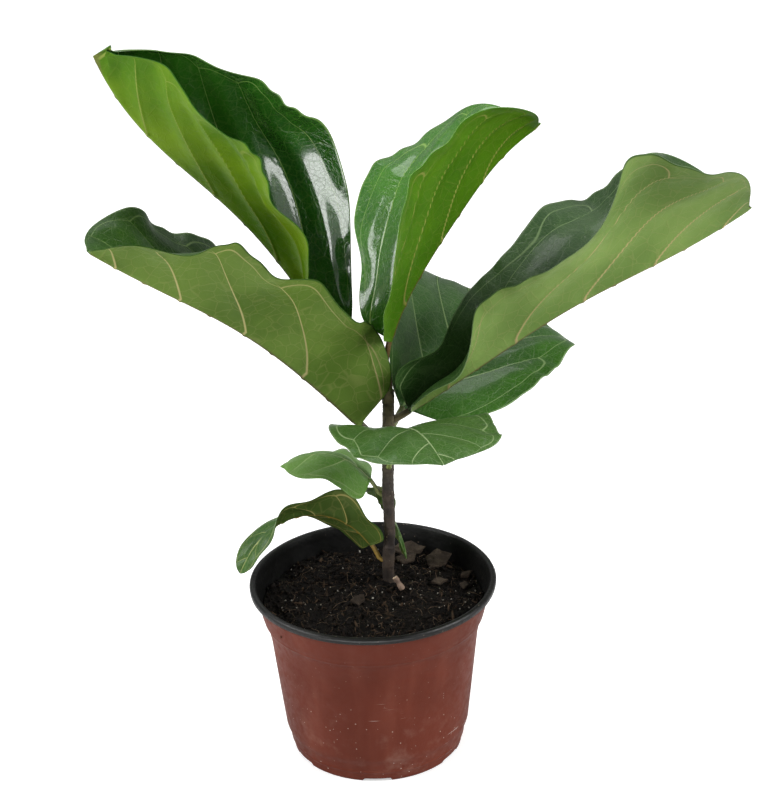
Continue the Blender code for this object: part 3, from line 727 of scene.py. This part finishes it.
bladeLook = dict(thick=0.0007, thinEdge=0.0004, groove=0.0005, grooveWidth=0.0015, edgeWave=0.0009,
                 ribDip=0.0005, ribDipWidth=0.0026, tipWidth=0.0042, swing=0.03, stagger=0.45, stalkRows=26,
                 ribColumns=8)
leafForms = {  # fold, curl and wave are given for the left half, then for the right
    "leaf_top_left": dict(
        height=0.2405, side=161, length=0.287, width=0.104, stalk=0.178, stalkRadius=0.0022, lobe=0.0086,
        blunt=6, heading=(166, 173, 187, 201), climb=(57, 56, 46, 70), roll=(-10, -28, -25),
        outline=(0.28, 0.48, 0.70, 0.86, 0.94, 0.76, 0.90), gap=0.058, lead=1.9,
        fold=((43, 65, 69, 70, 70), (48, 49, 63, 62, 62)), curl=((-29, -17, -26, -22), (0, 24, 54, 72)),
        wave=((0.5, -7, 5.5, -3.5, 5.5, 0, -2.5, 9), (0, -1, 2.5, -7, 4.5, 2.5, -2.5, 8)),
        upper=((0.014, 0.090, 0.0066), (0.034, 0.160, 0.0108)), veinUpper=(0.30, 0.44, 0.13),
        # under: a saturated green that is painted light shining through the leaf from behind
        under=((0.055, 0.145, 0.002), (0.145, 0.255, 0.008)), veinUnder=(0.22, 0.28, 0.05),
        stalkTint=(0.055, 0.045, 0.018), gloss=0.09, wax=1.0, quilt=0.0030, tip=(0.012, 75),
        rows=210, columns=46),
    "leaf_centre": dict(
        height=0.2465, side=100, length=0.196, width=0.096, stalk=0.155, stalkRadius=0.0018, lobe=0.0008,
        blunt=7, heading=(24, 22, 25, 28, 25), climb=(94, 64, 51, 45, 24), roll=(6, -1, -4),
        outline=(0.42, 0.52, 0.76, 0.90, 0.88, 0.90, 0.90), gap=0.046, lead=1.9,
        fold=((39, 26, 25, 16, 27), (54, 58, 63, 63, 43)),
        curl=((-3, -15, -24, -18), (-26, -22, -14, -17)),
        wave=((2.5, -7, 2, -1.5, 2.5, 0, -5, 2.5), (-0.5, -0.5, -0.5, -1.5, 2.5, -3, 3, -2)),
        upper=((0.022, 0.125, 0.0044), (0.050, 0.200, 0.0084)), veinUpper=(0.30, 0.48, 0.10),
        # under: a saturated green that is painted light shining through the leaf from behind
        under=((0.038, 0.115, 0.001), (0.070, 0.17, 0.003)), veinUnder=(0.22, 0.24, 0.05),
        stalkTint=(0.085, 0.05, 0.012), gloss=0.16, wax=0.60, quilt=0.0020, tip=(0.005, 10),
        rows=190, columns=46),
    "leaf_left": dict(
        height=0.2098, side=229, length=0.248, width=0.072, stalk=0.082, stalkRadius=0.0023, lobe=0.002,
        blunt=16, heading=(187, 198, 207, 215), climb=(51, 46, 36, 39), roll=(0, -4, 4),
        outline=(0.62, 0.73, 0.76, 0.91, 0.84, 0.85, 0.75), gap=0.052, lead=1.3,
        fold=((84, 76, 55, 54, 47), (35, 28, 26, 39, 25)), curl=((16, 8, -8, -35), (0, -16, -12, -2)),
        wave=((-1.5, 11.5, -12, 3.5, -6, 6, -7.5, 3), (0, 0, 0.5, -5, 7.5, -5, 10, -7.5)),
        upper=((0.012, 0.052, 0.0022), (0.026, 0.088, 0.0048)), veinUpper=(0.20, 0.30, 0.10),
        under=((0.062, 0.115, 0.014), (0.118, 0.192, 0.032)), veinUnder=(0.40, 0.36, 0.15),
        stalkTint=(0.05, 0.045, 0.016), gloss=0.38, wax=0.05, quilt=0.0018, tip=(0.003, 0),
        rows=200, columns=42),
    "leaf_right": dict(
        height=0.2245, side=19, length=0.267, width=0.111, stalk=0.035, stalkRadius=0.0022, lobe=0.0059,
        blunt=16, heading=(16, 18, 18, 27), climb=(27, 27, 18, 21), roll=(28, -14, 1),
        outline=(0.52, 0.34, 0.41, 0.62, 0.99, 0.92, 1.03), gap=0.052, lead=1.4,
        fold=((61, 50, 35, 21, 33), (66, 69, 55, 64, 60)), curl=((60, 25, -5, -2), (-23, -24, -24, -17)),
        wave=((-4, 13, -5.5, 0.5, 6, -6, 3.5, 0), (-1.5, -9.5, 12.5, 1, -8.5, 7, -6, 2)),
        upper=((0.018, 0.058, 0.0099), (0.040, 0.100, 0.0204)), veinUpper=(0.20, 0.30, 0.12),
        under=((0.098, 0.168, 0.034), (0.168, 0.258, 0.062)), veinUnder=(0.34, 0.28, 0.12),
        stalkTint=(0.07, 0.06, 0.02), gloss=0.34, wax=0.15, quilt=0.0018, tip=(0.004, 0),
        rows=210, columns=48),
    "leaf_back_right": dict(
        height=0.2179, side=58, length=0.169, width=0.08, stalk=0.09, stalkRadius=0.002, lobe=0.0051,
        blunt=16, heading=(60, 60, 58, 55), climb=(32, 16, 1, -15), roll=(22, 12, 1),
        outline=(0.56, 0.74, 0.85, 0.91, 0.91, 0.92, 0.84), gap=0.036, lead=1.15,
        fold=((55, 41, 27, 17, 10), (13, 8, 6, 4, -6)), curl=((37, 19, 2, -11), (-5, -7, -10, -18)),
        wave=((1.5, 1, 0, 0, 0, -0.5, 0.5, -0.5), (0.5, 0.5, -1, 1, -1, 1, 0.5, -1)),
        upper=((0.018, 0.078, 0.0055), (0.042, 0.140, 0.0132)), veinUpper=(0.26, 0.38, 0.15),
        under=((0.10, 0.16, 0.05), (0.16, 0.24, 0.07)), veinUnder=(0.30, 0.30, 0.12),
        stalkTint=(0.09, 0.11, 0.03), gloss=0.32, wax=0.20, quilt=0.0014, tip=(0.004, 0),
        rows=150, columns=40),
    "leaf_front": dict(
        height=0.1928, side=-87, length=0.131, width=0.054, stalk=0.22, stalkRadius=0.0016, lobe=0.0073,
        blunt=16, heading=(-72, -73, -73, -72, -72), climb=(75, 49, 25, 5, -14), roll=(-5, -4, -1),
        outline=(0.76, 0.84, 0.92, 0.94, 0.90, 0.94, 0.85), gap=0.031, lead=1.1,
        fold=((8, 6, 3, 1, 0), (16, 6, 0, -2, 1)), curl=((0, -1, -4, -3), (12, 1, -4, -2)),
        wave=((0, 0, 0, 1, -1.5, -1.5, 0.5, -1), (1, 0.5, 0, -1, -0.5, -1.5, 1, -1)),
        upper=((0.028, 0.088, 0.0099), (0.055, 0.135, 0.0216)), veinUpper=(0.32, 0.42, 0.20),
        under=((0.10, 0.17, 0.05), (0.17, 0.25, 0.08)), veinUnder=(0.32, 0.32, 0.14),
        stalkTint=(0.16, 0.20, 0.05), gloss=0.34, wax=0.15, quilt=0.0013, tip=(0.003, 0),
        rows=130, columns=32),
    "leaf_lower_left": dict(
        height=0.1705, side=170, length=0.077, width=0.044, stalk=0.16, stalkRadius=0.0013, lobe=0.0023,
        blunt=16, heading=(169, 174, 182, 190), climb=(67, 42, 2, -30), roll=(7, 20, 19),
        outline=(0.78, 0.79, 0.85, 0.90, 0.94, 0.94, 0.84), gap=0.022, lead=1.0,
        fold=((-17, -22, -21, -17, -13), (10, 3, -1, -4, -7)), curl=((-3, -2, 1, 2), (-8, -7, -6, -6)),
        wave=((0, 0, 0, -0.5, 1, 0.5, 0.5, 0.5), (-1, -4, 2, -0.5, 0, 0, -0.5, 0)),
        upper=((0.058, 0.160, 0.0154), (0.100, 0.220, 0.0300)), veinUpper=(0.30, 0.38, 0.17),
        under=((0.11, 0.18, 0.06), (0.17, 0.25, 0.09)), veinUnder=(0.30, 0.30, 0.14),
        stalkTint=(0.13, 0.15, 0.04), gloss=0.40, wax=0.05, quilt=0.0009, tip=(0.002, 0),
        rows=110, columns=26),
    "leaf_arching": dict(
        height=0.1227, side=181, length=0.122, width=0.024, stalk=0.1, stalkRadius=0.0015, lobe=0.0037,
        blunt=16, heading=(157, 167, 184, 201, 212), climb=(71, 35, -2, -35, -65), roll=(-12, -6, -26),
        outline=(0.89, 0.85, 0.83, 0.70, 0.61, 0.55, 0.53), gap=0.022, lead=1.1,
        fold=((81, 78, 65, 42, 16), (-57, -42, -28, -13, 2)), curl=((-5, -5, -8, -7), (-35, -23, -11, 0)),
        wave=((1, -4, 6.5, -2, 2.5, -4.5, -2, 1), (0.5, 0.5, -0.5, 0.5, 0.5, -0.5, -1.5, 1)),
        upper=((0.020, 0.070, 0.0055), (0.045, 0.120, 0.0120)), veinUpper=(0.26, 0.30, 0.10),
        under=((0.048, 0.085, 0.014), (0.092, 0.145, 0.030)), veinUnder=(0.38, 0.34, 0.12),
        stalkTint=(0.30, 0.19, 0.035), gloss=0.40, wax=0.05, quilt=0.0009, tip=(0.002, 0),
        rows=130, columns=24),
    "leaf_low_back": dict(
        height=0.172, side=119, length=0.076, width=0.0115, stalk=0.16, stalkRadius=0.0012, lobe=0.0,
        blunt=16, heading=(140, 80, 10, -10, -20), climb=(10, -52, -66, -70, -72), roll=(0, -8, -15),
        outline=(0.80, 1.00, 1.10, 1.05, 0.90, 0.75, 0.55), gap=0.012, lead=0.6,
        fold=((15, 12, 10, 8, 8), (10, 10, 10, 10, 10)), curl=((0, 0, 0, 0), (-10, -5, 0, 0)),
        wave=((0, 1, -1, 1, 0, 0, 0, 0), (0, -1, 1.5, -1, 1, 0, 0, 0)),
        upper=((0.026, 0.075, 0.0088), (0.050, 0.120, 0.0180)), veinUpper=(0.24, 0.32, 0.12),
        under=((0.07, 0.12, 0.03), (0.11, 0.17, 0.05)), veinUnder=(0.26, 0.28, 0.10),
        stalkTint=(0.10, 0.11, 0.03), gloss=0.42, wax=0.05, quilt=0.0005, tip=(0.001, 0),
        rows=100, columns=16),
}


def midribOf(leaf, u):
    # the midrib's points, found by adding up steps along its heading and climb, and its three directions
    fine = np.linspace(0, 1, 401)
    turn, rise = np.radians(smoothCurve(leaf["heading"], fine)), np.radians(smoothCurve(leaf["climb"], fine))
    forward = np.stack([np.cos(rise) * np.cos(turn), np.cos(rise) * np.sin(turn), np.sin(rise)], -1)
    steps = np.cumsum((forward[1:] + forward[:-1]) / 2, 0) * leaf["length"] / 400
    side = math.radians(leaf["side"])
    reach = stemForm["nodeRadius"] + 0.0004 + leaf["stalkRadius"] * abs(math.sin(rise[0]))
    out = np.array([math.cos(side), math.sin(side), 0])
    path = stemAxis(leaf["height"]) + reach * out + np.concatenate([[np.zeros(3)], steps])
    path = path - out * (0.0022 * np.clip(1 - fine / 0.02, 0, 1))[:, None]  # rooted in the bark
    centre = np.stack([np.interp(u, fine, path[:, k]) for k in range(3)], -1)
    ahead = unitRows(np.stack([np.interp(u, fine, forward[:, k]) for k in range(3)], -1))
    turn = np.interp(u, fine, turn)
    level = np.stack([-np.sin(turn), np.cos(turn), 0 * turn], -1)
    above = np.cross(ahead, level)
    roll = np.radians(smoothCurve(leaf["roll"], u))[:, None]
    left = np.cos(roll) * level + np.sin(roll) * above
    return centre, ahead, left, np.cos(roll) * above - np.sin(roll) * level


def halfLeaf(leaf, u, v, half):
    # half 0 or 1, left or right, of the blade over (u along, v from midrib 0 to margin 1). It leaves the
    # midrib at its fold angle, bends as an arc by its curl, and a wave that grows with v squared lifts the
    # margin. On that lie the fine forms: side veins sunk in grooves, the blade quilted up between them, and
    # short ripples at the edge.
    small, sign = bladeLook, 1 - 2 * half
    centre, ahead, left, up = midribOf(leaf, u)
    b = np.clip((u - leaf["stalk"]) / (1 - leaf["stalk"]), 0, 1)
    ends = np.sqrt(np.clip(1 - b ** 8, 0, 1)) * np.sqrt(np.clip(1 - (1 - b) ** leaf["blunt"], 0, 1))
    width = (leaf["width"] * smoothCurve(leaf["outline"], b) * ends)[:, None]
    fold = np.radians(smoothCurve(leaf["fold"][half], b))[:, None]
    curl = np.radians(smoothCurve(leaf["curl"][half], b))[:, None]
    along, across = (b * (leaf["length"] * (1 - leaf["stalk"])))[:, None] + 0 * v, width * v
    swing = along / (along + small["swing"])
    phase = (along - (leaf["lead"] + 0.45 * v) * across * swing) / leaf["gap"] + small["stagger"] * half
    near = (phase - np.round(phase)) * leaf["gap"]
    settle = easeStep(b / 0.12)[:, None] * easeStep((1 - b) / 0.06)[:, None]
    groove = bell(near / small["grooveWidth"]) * (1 - easeStep((v - 0.68) / 0.22)) * settle
    puff = np.sin(math.pi * phase) ** 2 * easeStep(v / 0.25) * (1 - easeStep((v - 0.6) / 0.4)) * settle
    seed = len(leaf["outline"]) + leaf["side"]
    ripple = np.sin(along / 0.0042 + 2.5 * np.sin(along / 0.017 + seed)) + 0.6 * np.sin(along / 0.0095 + seed)
    ripple = ripple * v ** 5 * settle * min(1.0, leaf["width"] / 0.06)
    bump = leaf["quilt"] * puff - small["groove"] * groove + small["edgeWave"] * ripple
    bump = bump - small["ribDip"] * bell(across / small["ribDipWidth"]) * settle
    ease = (easeStep(b / 0.15) * ends)[:, None]
    lift = smoothCurve(leaf["wave"][half], b)[:, None] / 1000 * v ** 2 * ease
    lean, slope = fold + curl * v / 2, fold + curl * v
    chord = width * v * np.sinc(curl * v / 2 / math.pi)
    back = leaf["lobe"] * v * np.exp(-(b[:, None] / 0.10) ** 2) * (ends[:, None] > 0)
    place = lambda amount, direction: amount[..., None] * direction[:, None]
    skin = centre[:, None] + place(sign * np.cos(lean) * chord - sign * np.sin(slope) * lift, left)
    skin = skin + place(np.sin(lean) * chord + np.cos(slope) * lift, up) - place(back, ahead)
    tipReach, tipRise = leaf["tip"]
    pull = tipReach * bell(across / small["tipWidth"]) * easeStep((b - 0.93) / 0.07)[:, None]
    skin = skin + place(pull * math.cos(math.radians(tipRise)), ahead)
    skin = skin + place(pull * math.sin(math.radians(tipRise)), up)
    normal = place(-sign * np.sin(slope), left) + place(np.cos(slope), up)
    outward = place(sign * np.cos(slope), left) + place(np.sin(slope), up)
    steep = np.gradient(lift, axis=0) / np.gradient(u)[:, None] / leaf["length"]
    spread = 2 * lift / np.maximum(across, 0.003)
    normal = unitRows(normal - place(steep, ahead) - spread[..., None] * outward)
    thick = small["thick"] + (small["thinEdge"] - small["thick"]) * v ** 4 + small["groove"] * 1.1 * groove
    return skin + normal * bump[..., None], normal, thick, phase, across, along


def makeLeaf(name, leaf):
    # closed rings carried along the midrib: round on the stalk, then the folded blade with its rib below
    rows, columns, ribColumns = leaf["rows"], leaf["columns"], bladeLook["ribColumns"]
    t = np.linspace(0, 1, rows)
    b = 0.002 + 0.9978 * (0.75 * t + 0.25 * (0.5 - 0.5 * np.cos(math.pi * t)))
    stalk = np.linspace(0, 0.985, bladeLook["stalkRows"]) * leaf["stalk"]
    u = np.concatenate([stalk, leaf["stalk"] + b * (1 - leaf["stalk"])])
    b = np.clip((u - leaf["stalk"]) / (1 - leaf["stalk"]), 0, 1)
    centre, _, left, up = midribOf(leaf, u)
    rib = leaf["stalkRadius"] * (1 - 0.82 * b)
    width = np.maximum(leaf["width"] * smoothCurve(leaf["outline"], b), 0.004)
    edge = np.minimum(1.7 * rib / width, 0.3)[:, None]
    v = np.concatenate([edge * np.arange(ribColumns) / ribColumns,
                        edge + (1 - edge) * np.linspace(0, 1, columns + 1)], 1)
    halves = []
    for half in (0, 1):
        skin, normal, thick, phase, across, along = halfLeaf(leaf, u, v, half)
        roundness = np.sqrt(np.clip(1 - (across / (1.25 * rib[:, None])) ** 2, 0, 1))
        swollen = (roundness * easeStep(roundness * 1.4))[..., None]
        under = skin - normal * thick[..., None]
        sunk = centre[:, None] - up[:, None] * (thick[..., :1, None] + 1.15 * rib[:, None, None])
        halves.append((skin, under + (sunk - under) * swollen, phase, across, along))
    top, below, phase, across, along = zip(*halves)
    upper = lambda part: np.concatenate([part[0][:, ::-1], part[1][:, 1:]], 1)
    lower = lambda part: np.concatenate([part[1][:, :0:-1], part[0]], 1)
    ring = np.concatenate([upper(top), lower(below)], 1)
    count = ring.shape[1]
    angle = (np.arange(count) + 0.5) * 2 * math.pi / count
    swell = 1 + 0.22 * np.exp(-(u / 0.012) ** 2)[:, None] + 0.05 * np.sin(angle * 3)[None]
    circle = np.cos(angle)[None, :, None] * left[:, None] + np.sin(angle)[None, :, None] * up[:, None]
    circle = centre[:, None] + circle * (rib[:, None] * swell)[..., None]
    mix = easeStep(b / 0.03)[:, None, None]
    points = (circle * (1 - mix) + ring * mix).reshape(-1, 3)
    faces = gridFaces(len(u), count, wrap=True)
    finishOf = np.zeros(faces.shape[:2], int)
    finishOf[:, count // 2:] = 1
    finishOf[u[:-1] < leaf["stalk"]] = 2
    last, half = (len(u) - 1) * count, count // 2
    k = np.arange(half - 1)
    caps = np.concatenate([np.stack([k, count - 1 - k, count - 2 - k, k + 1], -1),
                           last + np.stack([k + 1, count - 2 - k, count - 1 - k, k], -1)])
    faces = np.concatenate([faces.reshape(-1, 4), caps])
    finishOf = np.concatenate([finishOf.ravel(), np.full(half - 1, 2), np.zeros(half - 1, int)])
    both = lambda part: np.concatenate([upper(part), lower(part)], 1)
    signed = both((across[0], -across[1]))
    plan = np.stack([both(along) / 0.3, 0.5 + signed / 0.3], -1).reshape(-1, 2)
    facts = dict(veinPhase=both(phase), across=both((v, v)), ribAway=both(across) / rib[:, None],
                 along=byRow(b, count))
    looks = [leafUpper(name, leaf), leafUnder(name, leaf), leafStalk(name, leaf)]
    makePiece(name, points, faces, looks, name, finishOf, facts, plan)


def leafVeins(tree, leaf, width):
    # the leaf's own veins, thinner on a small leaf
    return useGroup(tree, veinGroup, Width=width * min(1, 0.2 + leaf["width"] / 0.11), Gap=leaf["gap"],
                    Half=leaf["width"] * 0.9)


def leafRelief(tree, veins, patch, net, fine):
    # bump height from the two vein nets and the fine blotches
    relief = linear(tree, veins["Net"], net, times(tree, veins["Fine"], fine))
    return linear(tree, patch["Fine"], 0.3, relief)


def leafUpper(name, leaf):
    # waxy upper face: deep green in soft patches, pale sunken veins and a pale edge
    made, tree, patch = newLook(name + " upper", 22.0, Coat_Weight=leaf["wax"], Coat_Roughness=0.10,
                                Specular_IOR_Level=0.3)
    veins = leafVeins(tree, leaf, 0.0012)
    pale = leaf["veinUpper"]
    colour = blend(tree, patch["Broad"], *leaf["upper"])
    colour = tint(tree, colour, veins["Fine"], 0.10, pale)
    colour = tint(tree, colour, veins["Net"], 0.13, pale)
    rib = easeBetween(tree, factOf(tree, "ribAway"), 0.35, 0.95, 1.0, 0.0)
    lines = calc(tree, "MAXIMUM", times(tree, veins["Veins"], 0.9), rib)
    colour = blend(tree, lines, colour, pale)
    colour = tint(tree, colour, veins["Edge"], 0.35, pale)
    colour = tint(tree, colour, specks(tree, 260.0, 0.05, 0.2), 0.35, (0.45, 0.45, 0.38))
    rough = linear(tree, lines, 0.15, linear(tree, patch["Fine"], 0.14, leaf["gloss"]))
    return finish(made, colour, rough, leafRelief(tree, veins, patch, -0.6, -0.35), 0.4, 0.0006)


def leafUnder(name, leaf):
    # matt underside: sage, or back-lit green that is painted light shining through the leaf; raised buff
    # veins that brown towards the stalk
    made, tree, patch = newLook(name + " under", 16.0, Specular_IOR_Level=0.12)
    veins = leafVeins(tree, leaf, 0.0016)
    buff, brown = leaf["veinUnder"], leaf["stalkTint"]
    colour = blend(tree, patch["Broad"], *leaf["under"])
    colour = tint(tree, colour, veins["Fine"], 0.08, leaf["upper"][1])
    colour = tint(tree, colour, veins["Net"], 0.12, buff)
    along = factOf(tree, "along")
    ribColour = blend(tree, easeBetween(tree, along, 0.25, 1.0, 0.95, 0.45), buff, brown)
    sideColour = tint(tree, buff, easeBetween(tree, along, 0.0, 0.55, 1.0, 0.0), 0.45, brown)
    colour = blend(tree, veins["Veins"], colour, sideColour)
    rib = easeBetween(tree, factOf(tree, "ribAway"), 0.6, 1.05, 1.0, 0.0)
    colour = blend(tree, rib, colour, ribColour)
    colour = tint(tree, colour, veins["Edge"], 0.8, leaf["upper"][0])
    rough = linear(tree, patch["Fine"], 0.15, 0.5)
    return finish(made, colour, rough, leafRelief(tree, veins, patch, 0.7, 0.35), 0.3, 0.0006)


def leafStalk(name, leaf):
    # stalk skin: its own tint in soft patches, with fine brown blotches
    made, tree, patch = newLook(name + " stalk", 90.0)
    colour = blend(tree, patch["Broad"], leaf["stalkTint"], [c * 1.5 for c in leaf["stalkTint"]])
    colour = tint(tree, colour, patch["Fine"], 0.35, (0.06, 0.035, 0.015))
    return finish(made, colour, linear(tree, patch["Fine"], 0.2, 0.4), patch["Fine"], 0.25, 0.0004)


for leafName, leafForm in leafForms.items():
    makeLeaf(leafName, leafForm)
print("leaves done")


studioLook = dict(floorSize=14.0, floorTone=0.80, floorGlow=0.48, worldStrength=0.32,
                  worldColour=(1.0, 1.0, 1.0))
lampForms = {  # place, aimed at, width and height, power, colour
    "left softbox": dict(at=(-1.75, -0.35, 1.30), to=(0.0, 0.0, 0.25), size=(1.1, 1.1), power=38),
    "right softbox": dict(at=(1.75, -0.55, 1.15), to=(0.0, 0.0, 0.25), size=(0.9, 1.2), power=40),
    "back softbox": dict(at=(-0.1, 0.9, 1.8), to=(0.0, 0.0, 0.3), size=(1.4, 1.0), power=14),
    "low front strip": dict(at=(-0.50, -1.25, 0.22), to=(-0.1, 0.0, 0.38), size=(0.80, 0.42), power=3),
}
cardForm = dict(at=(-0.22, -0.85, 0.003), size=(0.95, 1.05), glow=10.0)
cameraForm = dict(aim=(0.0094, 0.0, 0.2468), distance=1.70, elevation=25.0, roll=-1.85, lens=121.7)


def makeStage(name, at, size, made):
    # a flat rectangle that isn't part of the plant
    corners = [(at[0] + i * size[0] / 2, at[1] + j * size[1] / 2, at[2])
               for i, j in ((-1, -1), (1, -1), (1, 1), (-1, 1))]
    mesh = bpy.data.meshes.new(name)
    mesh.from_pydata(corners, [], [(0, 1, 2, 3)])
    mesh.materials.append(made)
    sheet = bpy.data.objects.new(name, mesh)
    bpy.context.scene.collection.objects.link(sheet)


def makeFloor():
    # a pale floor that glows a little for the camera only, so that it looks evenly lit
    tone, size = studioLook["floorTone"], studioLook["floorSize"]
    made = newMaterial("pale floor", Base_Color=(tone, tone, tone, 1), Roughness=0.9, Emission_Strength=1.0)
    tree = made.node_tree
    seen = addNode(tree, "ShaderNodeLightPath").outputs["Is Camera Ray"]
    glow = times(tree, seen, studioLook["floorGlow"])
    join(tree, glow, tree.nodes["Principled BSDF"].inputs["Emission Color"])
    makeStage("floor", (0, 0, 0), (size, size), made)


def makeCard():
    # a bright card on the floor in front: only reflections see it, as a sheen on waxy leaves
    glow = cardForm["glow"]
    made = newMaterial("sheen card", Base_Color=(0, 0, 0, 1), Emission_Color=(glow, glow, glow, 1),
                       Emission_Strength=1.0, Roughness=1.0, Specular_IOR_Level=0.0)
    tree = made.node_tree
    seen = addNode(tree, "ShaderNodeLightPath").outputs["Is Glossy Ray"]
    join(tree, seen, tree.nodes["Principled BSDF"].inputs["Alpha"])
    makeStage("sheen card", cardForm["at"], cardForm["size"], made)


def makeLamps():
    for name, form in lampForms.items():
        lamp = bpy.data.lights.new(name, "AREA")
        lamp.shape = "RECTANGLE"
        lamp.size, lamp.size_y = form["size"]
        lamp.energy = form["power"]
        holder = bpy.data.objects.new(name, lamp)
        holder.location = form["at"]
        aim = Vector(form["to"]) - Vector(form["at"])
        holder.rotation_euler = aim.to_track_quat("-Z", "Y").to_euler()
        bpy.context.scene.collection.objects.link(holder)
    world = bpy.data.worlds.new("studio")
    world.use_nodes = True
    back = world.node_tree.nodes["Background"]
    back.inputs["Color"].default_value = (*studioLook["worldColour"], 1)
    back.inputs["Strength"].default_value = studioLook["worldStrength"]
    bpy.context.scene.world = world
    bpy.context.scene.view_settings.view_transform = "Standard"


def makeCamera():
    # a long lens in front and above, tipped a little to one side
    c = cameraForm
    rise, roll = math.radians(c["elevation"]), math.radians(c["roll"])
    ahead = Vector((0, math.cos(rise), -math.sin(rise)))
    right = Vector((1, 0, 0))
    up = right.cross(ahead)
    tippedRight = right * math.cos(roll) + up * math.sin(roll)
    tippedUp = up * math.cos(roll) - right * math.sin(roll)
    lens = bpy.data.cameras.new("camera")
    lens.lens = c["lens"]
    lens.sensor_width = 36
    holder = bpy.data.objects.new("camera", lens)
    turn = Matrix((tippedRight, tippedUp, -ahead)).transposed().to_4x4()
    holder.matrix_world = Matrix.Translation(Vector(c["aim"]) - ahead * c["distance"]) @ turn
    bpy.context.scene.collection.objects.link(holder)
    bpy.context.scene.camera = holder


makeFloor()
makeCard()
makeLamps()
makeCamera()
